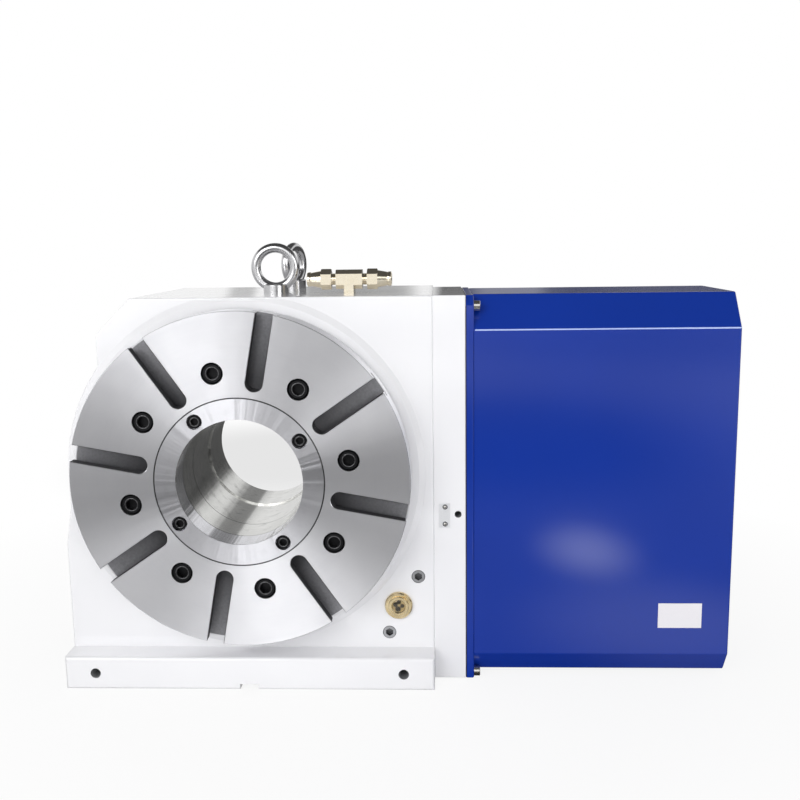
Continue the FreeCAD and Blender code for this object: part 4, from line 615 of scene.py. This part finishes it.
# Reflector behind the sight glass: a flanged disc with four pits round a raised middle. Its face is a radius and an
# angle, sunk by a bell curve about each pit's place, and its flange and back close it. Oil stands dark in the pits.
reflectorLook = {"centre": (146.0, 34.2, -133.0), "radiusMm": 6.3, "pitMm": 3.5, "pitDepthMm": 0.42,
                 "pits": ((85.0, 1.9), (160.0, 2.0), (258.0, 2.6), (-3.0, 1.8)), "rows": 56, "columns": 96,
                 "back": ((1.0, 0.46), (0.7, 0.46), (0.7, 3.0), (0.0, 3.0)),
                 "oilColour": "#1E130A", "oilFromMm": 0.10, "oilToMm": 0.22}
backShare, backDeep = profileColumns(reflectorLook["back"])
reflectorRadius = np.linspace(0.0, reflectorLook["radiusMm"], reflectorLook["rows"])[:, None]
reflectorDeep = np.vstack([np.zeros_like(reflectorRadius), backDeep])
reflectorRadius = np.vstack([reflectorRadius, reflectorLook["radiusMm"] * backShare])
reflectorPoints = turnProfile(reflectorRadius, reflectorDeep, reflectorLook["columns"])
reflectorFace = reflectorPoints[:reflectorLook["rows"]]
for pitAngle, pitRadius in reflectorLook["pits"]:
    pitX = reflectorLook["pitMm"] * math.cos(math.radians(pitAngle))
    pitZ = reflectorLook["pitMm"] * math.sin(math.radians(pitAngle))
    away = (reflectorFace[..., 0] - pitX) ** 2 + (reflectorFace[..., 2] - pitZ) ** 2
    reflectorFace[..., 1] += reflectorLook["pitDepthMm"] * np.exp(-away / pitRadius ** 2)
reflectorPoints += np.array(reflectorLook["centre"])
reflectorWhite = makeMoulded("whiteAcetal", {
    "colour": "#F0E4C4", "shade": "#DCC795", "roughness": 0.35, "ior": 1.48, "grainMm": 1.6, "depthMm": 0.005,
})
reflectorTree, reflectorPlace = reopen(reflectorWhite)
reflectorSunk = axesOf(reflectorTree, fromCentre(reflectorTree, reflectorPlace, reflectorLook["centre"]))["Y"]
reflectorOil = addNode(reflectorTree, "ShaderNodeMapRange",
                       fromRange(reflectorLook["oilFromMm"], reflectorLook["oilToMm"], mm), {"Value": reflectorSunk})
stainWith(reflectorWhite, reflectorOil.outputs[0], reflectorLook["oilColour"])
placePiece("sightReflector", [gridMesh(reflectorPoints, closeAcross=True)], reflectorWhite, "base")

# Drive rivets of the small plate: each is a dome with a dark ring round it, a painted shadow at the dome's edge, as a
# profile of radius and depth turned about Y
rivetLook = {"places": ((192.0, 35.4, -33.5), (192.0, 35.4, -50.5)), "columns": 40,
             "dome": ((0.0, -0.95), (0.5, -0.92), (0.95, -0.80), (1.3, -0.60), (1.55, -0.32), (1.62, -0.10),
                      (1.62, 0.2), (0.0, 0.2)),
             "ringMm": 2.15, "ringThickMm": 0.36, "ringSteps": 14}
ringTurn = np.linspace(0.0, 2 * np.pi, rivetLook["ringSteps"], endpoint=False)[:, None]
shadowRingProfile = (rivetLook["ringMm"] + rivetLook["ringThickMm"] * np.cos(ringTurn),
               -rivetLook["ringThickMm"] * np.sin(ringTurn))
for name, material, profile, isRing in (
    ("plateRivets", stainlessSteel, profileColumns(rivetLook["dome"]), False),
    ("rivetShadowRings", motorAlloy, shadowRingProfile, True),
):
    points = turnProfile(*profile, rivetLook["columns"])
    shells = [gridMesh(points + np.array(place), closeAcross=True, closeAlong=isRing) for place in rivetLook["places"]]
    placePiece(name, shells, material, "base")

# Worn edges of the screws' sockets, bare steel whose pale colour also paints a highlight round each socket: a bead of
# ellipse section about each socket's mouth, its section turned about Y
socketLook = {"halfMm": 0.45, "proudMm": 0.16, "columns": 36, "steps": 10, "sets": {
    "faceplate_screws": {"circleMm": 105.0, "angle": 11.5, "count": 8, "beadMm": 6.0},
    "centre_bush_screws": {"circleMm": 70.0, "angle": 34.3, "count": 4, "beadMm": 4.05},
}}
wornSteelAndSheen = makePlainMetal("wornOxideAndSheen", {
    "colour": "#808082", "shade": "#38383A", "roughness": 0.30, "glossSpread": 0.06, "grainMm": 0.5, "toneMm": 2.0,
    "depthMm": 0.01,
})
beadTurn = np.linspace(0.0, 2 * np.pi, socketLook["steps"], endpoint=False)[:, None]
beadShells = []
for node, look in socketLook["sets"].items():
    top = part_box(node)[0][1] / mm
    points = turnProfile(look["beadMm"] + socketLook["halfMm"] * np.cos(beadTurn),
                         top - socketLook["proudMm"] * np.sin(beadTurn), socketLook["columns"])
    for number in range(look["count"]):
        around = math.radians(look["angle"] + 360.0 * number / look["count"])
        centre = np.array((look["circleMm"] * math.cos(around), 0.0, look["circleMm"] * math.sin(around)))
        beadShells.append(gridMesh(points + centre, closeAcross=True, closeAlong=True))
placePiece("socketRims", beadShells, wornSteelAndSheen, "table")

# Collars on the tee's sleeves: a profile of radius and distance from the middle, turned about X on both sides
collarLook = {"centre": (99.0, 93.0, 183.8), "columns": 48,
              "profile": ((6.45, 37.9), (6.95, 38.0), (7.1, 38.2), (7.1, 41.2), (6.95, 41.5), (6.45, 41.6))}
collarRadius, collarAlong = profileColumns(collarLook["profile"])
collarShells = []
for side in (-1.0, 1.0):
    points = turnProfile(collarRadius, side * collarAlong, collarLook["columns"], "X")
    collarShells.append(gridMesh(points + np.array(collarLook["centre"]), closeAcross=True, closeAlong=True))
placePiece("sleeveCollars", collarShells, paleBrass, "base")

# Sealant in the joint between the adapter plate and the cover: a round bead carried up the front, over the cut corner
# and along the top, its section set across the path's mean direction and shrunk to a point at both ends
sealLook = {"acrossMm": 212.5, "insetMm": 0.55, "cornerMm": 9.0, "radiusMm": 0.6, "tipMm": 1.0, "columns": 12}
blackSilicone = makeMoulded("blackSilicone", {
    "colour": "#17181C", "shade": "#0E0F12", "roughness": 0.5, "ior": 1.41, "grainMm": 1.0, "depthMm": 0.01,
})
coverLow, coverHigh = [np.array(corner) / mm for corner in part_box("motor_cover")]
sealFront = coverLow[1] + sealLook["insetMm"]
sealTop = coverHigh[2] - sealLook["insetMm"]
sealEnd = coverHigh[1] - 2 * sealLook["cornerMm"]
sealPath = np.array([
    (sealFront, coverLow[2]), (sealFront, coverLow[2] + sealLook["tipMm"]), (sealFront, sealTop - sealLook["cornerMm"]),
    (sealFront + sealLook["cornerMm"], sealTop), (sealEnd, sealTop), (sealEnd + sealLook["tipMm"], sealTop),
])
sealWay = np.gradient(sealPath, axis=0)
sealWay /= np.linalg.norm(sealWay, axis=1)[:, None]
sealRadius = sealLook["radiusMm"] * np.array([0.0, 1.0, 1.0, 1.0, 1.0, 0.0])[:, None]
sealAngle = np.linspace(0.0, 2 * np.pi, sealLook["columns"], endpoint=False)[None, :]
sealPoints = np.stack([
    sealLook["acrossMm"] + sealRadius * np.cos(sealAngle),
    sealPath[:, :1] - sealWay[:, 1:] * sealRadius * np.sin(sealAngle),
    sealPath[:, 1:] + sealWay[:, :1] * sealRadius * np.sin(sealAngle),
], axis=-1)
placePiece("jointSealant", [gridMesh(sealPoints, closeAcross=True)], blackSilicone, "base")

# White painted board. The camera sees it white, with the object's shadow near it and a painted shadow far behind,
# which shows through the bore. Gloss and glass see it as a studio has it: grey in front and white at the sides and far
# away, with a painted shadow under the object, and behind it white at the left and dark at the right. Spans are in
# millimetres. Patches add to the level, and wide is their width for their depth.
floorLook = {
    "heightMm": -210.0, "halfMm": 6000.0, "edges": 9, "colour": "#F4F4F4", "roughness": 0.9, "farWhite": 1.0,
    "middlePlace": (90, 0, 0), "shadowPlace": (140, 120, 0), "shadePlace": (-110, 1050, 0),
    "ramps": {
        "shadow": {"span": (300.0, 750.0), "levels": (0.88, 1.0), "blend": "LINEAR"},
        # shade is a painted shadow of the object on the board far behind it
        "shade": {"span": (170.0, 500.0), "levels": (0.79, 1.0)},
        "side": {"span": (420.0, 1250.0), "levels": (0.27, 1.0)},
        # under is a painted shadow on the board under the object, seen in gloss and glass
        "under": {"by": "Y", "span": (-20.0, 30.0), "levels": (1.0, 0.15), "blend": "LINEAR"},
        "far": {"by": "Y", "span": (-1500.0, -2600.0), "levels": (0.0, 1.0)},
        "behind": {"by": "Y", "span": (250.0, 700.0), "levels": (0.0, 1.0)},
        "back": {"by": "X", "span": (-420.0, -120.0), "levels": (0.90, 0.10)},
    },
    "patches": {
        # glow, nearLight and rightLight are painted pools of light where no lamp shines, seen in gloss and glass; the
        # cards darken it
        "glow": {"place": (393, -372, 0), "span": (10.0, 160.0), "levels": (2.5, 0.0), "wide": 0.58},
        "nearLight": {"place": (0, -160, 0), "span": (60.0, 260.0), "levels": (0.85, 0.0)},
        "rightLight": {"place": (440, -110, 0), "span": (40.0, 210.0), "levels": (0.58, 0.0)},
        "darkCard": {"place": (330, -1150, 0), "span": (250.0, 650.0), "levels": (-0.24, 0.0)},
        "farCard": {"place": (1300, -3600, 0), "span": (800.0, 2000.0), "levels": (-0.82, 0.0)},
    },
}
floorMaterial, floorTree, floorShader, floorPlace = startMaterial("whiteStudioBoard")
floorRays = addNode(floorTree, "ShaderNodeLightPath").outputs
floorShown = addNode(floorTree, "ShaderNodeMath", {"operation": "MAXIMUM"},
                     {0: floorRays["Is Glossy Ray"], 1: floorRays["Is Transmission Ray"]}).outputs[0]
floorAxes = axesOf(floorTree, fromCentre(floorTree, floorPlace, floorLook["middlePlace"]))
floorMeasures = {
    "X": floorAxes["X"], "Y": floorAxes["Y"],
    "side": addNode(floorTree, "ShaderNodeMath", {"operation": "ABSOLUTE"}, {0: floorAxes["X"]}).outputs[0],
}
for name in ("shadow", "shade"):
    floorMeasures[name] = acrossAxis(floorTree, fromCentre(floorTree, floorPlace, floorLook[name + "Place"]), "Z")
for name, patch in floorLook["patches"].items():
    patchPlace = addNode(floorTree, "ShaderNodeVectorMath", {
        "operation": "DIVIDE", 1: (patch.get("wide", 1.0), 1.0, 1.0),
    }, {0: fromCentre(floorTree, floorPlace, patch["place"])})
    floorMeasures[name] = acrossAxis(floorTree, patchPlace.outputs[0], "Z")
floorRamps = rampLevels(floorTree, floorLook["ramps"], floorMeasures, mm)
floorPatches = rampLevels(floorTree, floorLook["patches"], floorMeasures, mm)
floorShare = addNode(floorTree, "ShaderNodeMath", {"operation": "MULTIPLY"},
                     {0: floorRays["Is Camera Ray"], 1: floorRamps["shadow"]})
floorShare = addNode(floorTree, "ShaderNodeMath", {"operation": "MAXIMUM"}, {0: floorShare.outputs[0], 1: floorShown})
floorFront = addNode(floorTree, "ShaderNodeMix", {"data_type": "FLOAT", 3: floorLook["farWhite"]},
                     {0: floorRamps["far"], 2: floorRamps["side"]})
floorFront = addNode(floorTree, "ShaderNodeMath", {"operation": "MULTIPLY"},
                     {0: floorFront.outputs[0], 1: floorRamps["under"]})
floorLevel = addNode(floorTree, "ShaderNodeMix", {"data_type": "FLOAT"},
                     {0: floorRamps["behind"], 2: floorFront.outputs[0], 3: floorRamps["back"]})
for patch in floorPatches.values():
    floorLevel = addNode(floorTree, "ShaderNodeMath", {"operation": "ADD"}, {0: floorLevel.outputs[0], 1: patch})
floorLevel = addNode(floorTree, "ShaderNodeMix", {"data_type": "FLOAT"},
                     {0: floorShown, 2: floorRamps["shade"], 3: floorLevel.outputs[0]})
floorGlow = addNode(floorTree, "ShaderNodeEmission", {"Color": (1, 1, 1, 1)}, {"Strength": floorLevel.outputs[0]})
floorMix = addNode(floorTree, "ShaderNodeMixShader", {}, {
    0: floorShare.outputs[0], 1: floorShader.outputs[0], 2: floorGlow.outputs[0],
})
floorShader.inputs["Base Color"].default_value = toLinear(floorLook["colour"])
floorShader.inputs["Roughness"].default_value = floorLook["roughness"]
floorTree.links.new(floorMix.outputs[0], floorTree.nodes["Material Output"].inputs["Surface"])
spread = np.linspace(-floorLook["halfMm"], floorLook["halfMm"], floorLook["edges"])
across, deep = np.meshgrid(spread, spread)
floorPoints = np.stack([across, deep, np.full_like(across, floorLook["heightMm"])], axis=-1)
floor = makeObject("studioFloor", [gridMesh(floorPoints)], floorMaterial)

# The room as gloss and glass see it: white in front up to head height and grey to the right, dark overhead, and behind
# the object a banded strip along the horizon, under a wall that is white on both sides of a grey column. Spans are
# parts of a direction along X, Y or Z. A band has its middle, inner and outer half width, and the level it adds.
worldLook = {
    "lightLevel": 0.53, "overheadGrey": 0.08, "columnX": 0.02, "blockScale": 7.0, "blockNoise": (0.35, 0.65),
    "blockShift": 0.02,
    "ramps": {
        "strip": {"span": (-0.028, -0.008), "levels": (0.95, 0.08)},
        "wall": {"span": (0.07, 0.19), "levels": (0.30, 1.05)},
        "risen": {"by": "Z", "span": (0.09, 0.20), "levels": (0.0, 1.0)},
        "behind": {"by": "Y", "span": (-0.35, 0.25), "levels": (0.0, 1.0)},
        "front": {"by": "X", "span": (0.03, 0.22), "levels": (1.0, 0.14)},
        "over": {"by": "Z", "span": (0.42, 0.62), "levels": (0.0, 1.0)},
    },
    "bands": ((0.075, 0.03, 0.055, 0.24), (-0.082, 0.025, 0.05, -0.62), (-0.195, 0.01, 0.03, -0.45)),
}
world = bpy.data.worlds.new("softStudio")
world.use_nodes = True
worldTree = world.node_tree
worldWay = addNode(worldTree, "ShaderNodeTexCoord").outputs["Generated"]
worldAxes = axesOf(worldTree, worldWay)
worldBlocks = addNode(worldTree, "ShaderNodeTexNoise", {"Scale": worldLook["blockScale"], "Detail": 1.0},
                      {"Vector": worldWay})
worldBlocks = addNode(worldTree, "ShaderNodeMapRange", {
    **fromRange(*worldLook["blockNoise"]), "To Min": -worldLook["blockShift"], "To Max": worldLook["blockShift"],
}, {"Value": worldBlocks.outputs[0]})
worldShift = addNode(worldTree, "ShaderNodeMath", {"operation": "ADD"},
                     {0: worldAxes["X"], 1: worldBlocks.outputs[0]}).outputs[0]
worldAside = addNode(worldTree, "ShaderNodeMath", {"operation": "SUBTRACT", 1: worldLook["columnX"]},
                     {0: worldAxes["X"]})
worldAside = addNode(worldTree, "ShaderNodeMath", {"operation": "ABSOLUTE"}, {0: worldAside.outputs[0]}).outputs[0]
worldRamps = rampLevels(worldTree, worldLook["ramps"], {
    "X": worldAxes["X"], "Y": worldAxes["Y"], "Z": worldAxes["Z"], "strip": worldShift, "wall": worldAside,
})
worldStrip = worldRamps["strip"]
for band in worldLook["bands"]:
    worldStrip = addNode(worldTree, "ShaderNodeMath", {"operation": "ADD"},
                         {0: worldStrip, 1: nearLine(worldTree, worldShift, *band, "SMOOTHSTEP")}).outputs[0]
worldBack = addNode(worldTree, "ShaderNodeMix", {"data_type": "FLOAT"},
                    {0: worldRamps["risen"], 2: worldStrip, 3: worldRamps["wall"]})
worldLevel = addNode(worldTree, "ShaderNodeMix", {"data_type": "FLOAT"},
                     {0: worldRamps["behind"], 2: worldRamps["front"], 3: worldBack.outputs[0]})
worldLevel = addNode(worldTree, "ShaderNodeMix", {"data_type": "FLOAT", 3: worldLook["overheadGrey"]},
                     {0: worldRamps["over"], 2: worldLevel.outputs[0]})
worldRays = addNode(worldTree, "ShaderNodeLightPath").outputs
worldSeen = addNode(worldTree, "ShaderNodeMath", {"operation": "MAXIMUM"},
                    {0: worldRays["Is Glossy Ray"], 1: worldRays["Is Transmission Ray"]})
worldLevel = addNode(worldTree, "ShaderNodeMix", {"data_type": "FLOAT", 2: worldLook["lightLevel"]},
                     {0: worldSeen.outputs[0], 3: worldLevel.outputs[0]})
worldLevel = addNode(worldTree, "ShaderNodeMix", {"data_type": "FLOAT", 3: 1.0},
                     {0: worldRays["Is Camera Ray"], 2: worldLevel.outputs[0]})
worldTree.links.new(worldLevel.outputs[0], worldTree.nodes["Background"].inputs["Strength"])
worldTree.nodes["Background"].inputs["Color"].default_value = (1, 1, 1, 1)
bpy.context.scene.world = world

# Soft boxes: place and aim in millimetres, size in metres, power in watts. One isn't shown in gloss, and one is shown
# in gloss alone.
softBoxes = {
    "keyBox": {"place": (-760, -1390, 770), "aim": (60, 0, -20), "size": (1.1, 0.9), "power": 11.0},
    "frontBox": {"place": (180, -1710, 840), "aim": (350, 36, 140), "size": (1.8, 0.9), "power": 5.0},
    "fillBox": {"place": (700, -1500, -20), "aim": (200, 0, -120), "size": (1.4, 0.4), "power": 4.4, "shines": False},
    "sideBox": {"place": (1150, -1250, 520), "aim": (0, 0, 0), "size": (0.9, 0.9), "power": 8.0, "lights": False},
}
for name, look in softBoxes.items():
    lamp = bpy.data.lights.new(name, "AREA")
    lamp.shape = "RECTANGLE"
    lamp.size, lamp.size_y = look["size"]
    lamp.energy = look["power"]
    placed = bpy.data.objects.new(name, lamp)
    aim = Vector(look["aim"]) - Vector(look["place"])
    turn = aim.to_track_quat("-Z", "Y").to_matrix().to_4x4()
    placed.matrix_world = Matrix.Translation(Vector(look["place"]) * mm) @ turn
    placed.visible_glossy = look.get("shines", True)
    placed.visible_diffuse = look.get("lights", True)
    bpy.context.scene.collection.objects.link(placed)
print("floor and", len(softBoxes), "soft boxes set")

# Camera: the photograph's view, with the focal length in the photograph's pixels and the turns in radians
cameraLook = {"focalPixels": 965.0, "widePixels": 800.0, "sensorMm": 36.0, "nearMm": 10.0,
              "place": (185.65, -867.54, 221.91), "yaw": -0.0397, "pitch": 0.1649, "roll": 0.0130}
yaw, pitch, roll = cameraLook["yaw"], cameraLook["pitch"], cameraLook["roll"]
ahead = Vector((math.sin(yaw) * math.cos(pitch), math.cos(yaw) * math.cos(pitch), -math.sin(pitch)))
right = Vector((math.cos(yaw), -math.sin(yaw), 0.0))
down = ahead.cross(right)
rolledRight = math.cos(roll) * right + math.sin(roll) * down
rolledDown = math.cos(roll) * down - math.sin(roll) * right
cameraData = bpy.data.cameras.new("photoView")
cameraData.sensor_width = cameraLook["sensorMm"]
cameraData.lens = cameraLook["focalPixels"] / cameraLook["widePixels"] * cameraData.sensor_width
cameraData.clip_start = cameraLook["nearMm"] * mm
camera = bpy.data.objects.new("photoView", cameraData)
turned = Matrix((rolledRight, -rolledDown, -ahead)).transposed().to_4x4()
camera.matrix_world = Matrix.Translation(Vector(cameraLook["place"]) * mm) @ turned
bpy.context.scene.collection.objects.link(camera)
bpy.context.scene.camera = camera
bpy.context.scene.view_settings.view_transform = "Standard"
print("camera set")
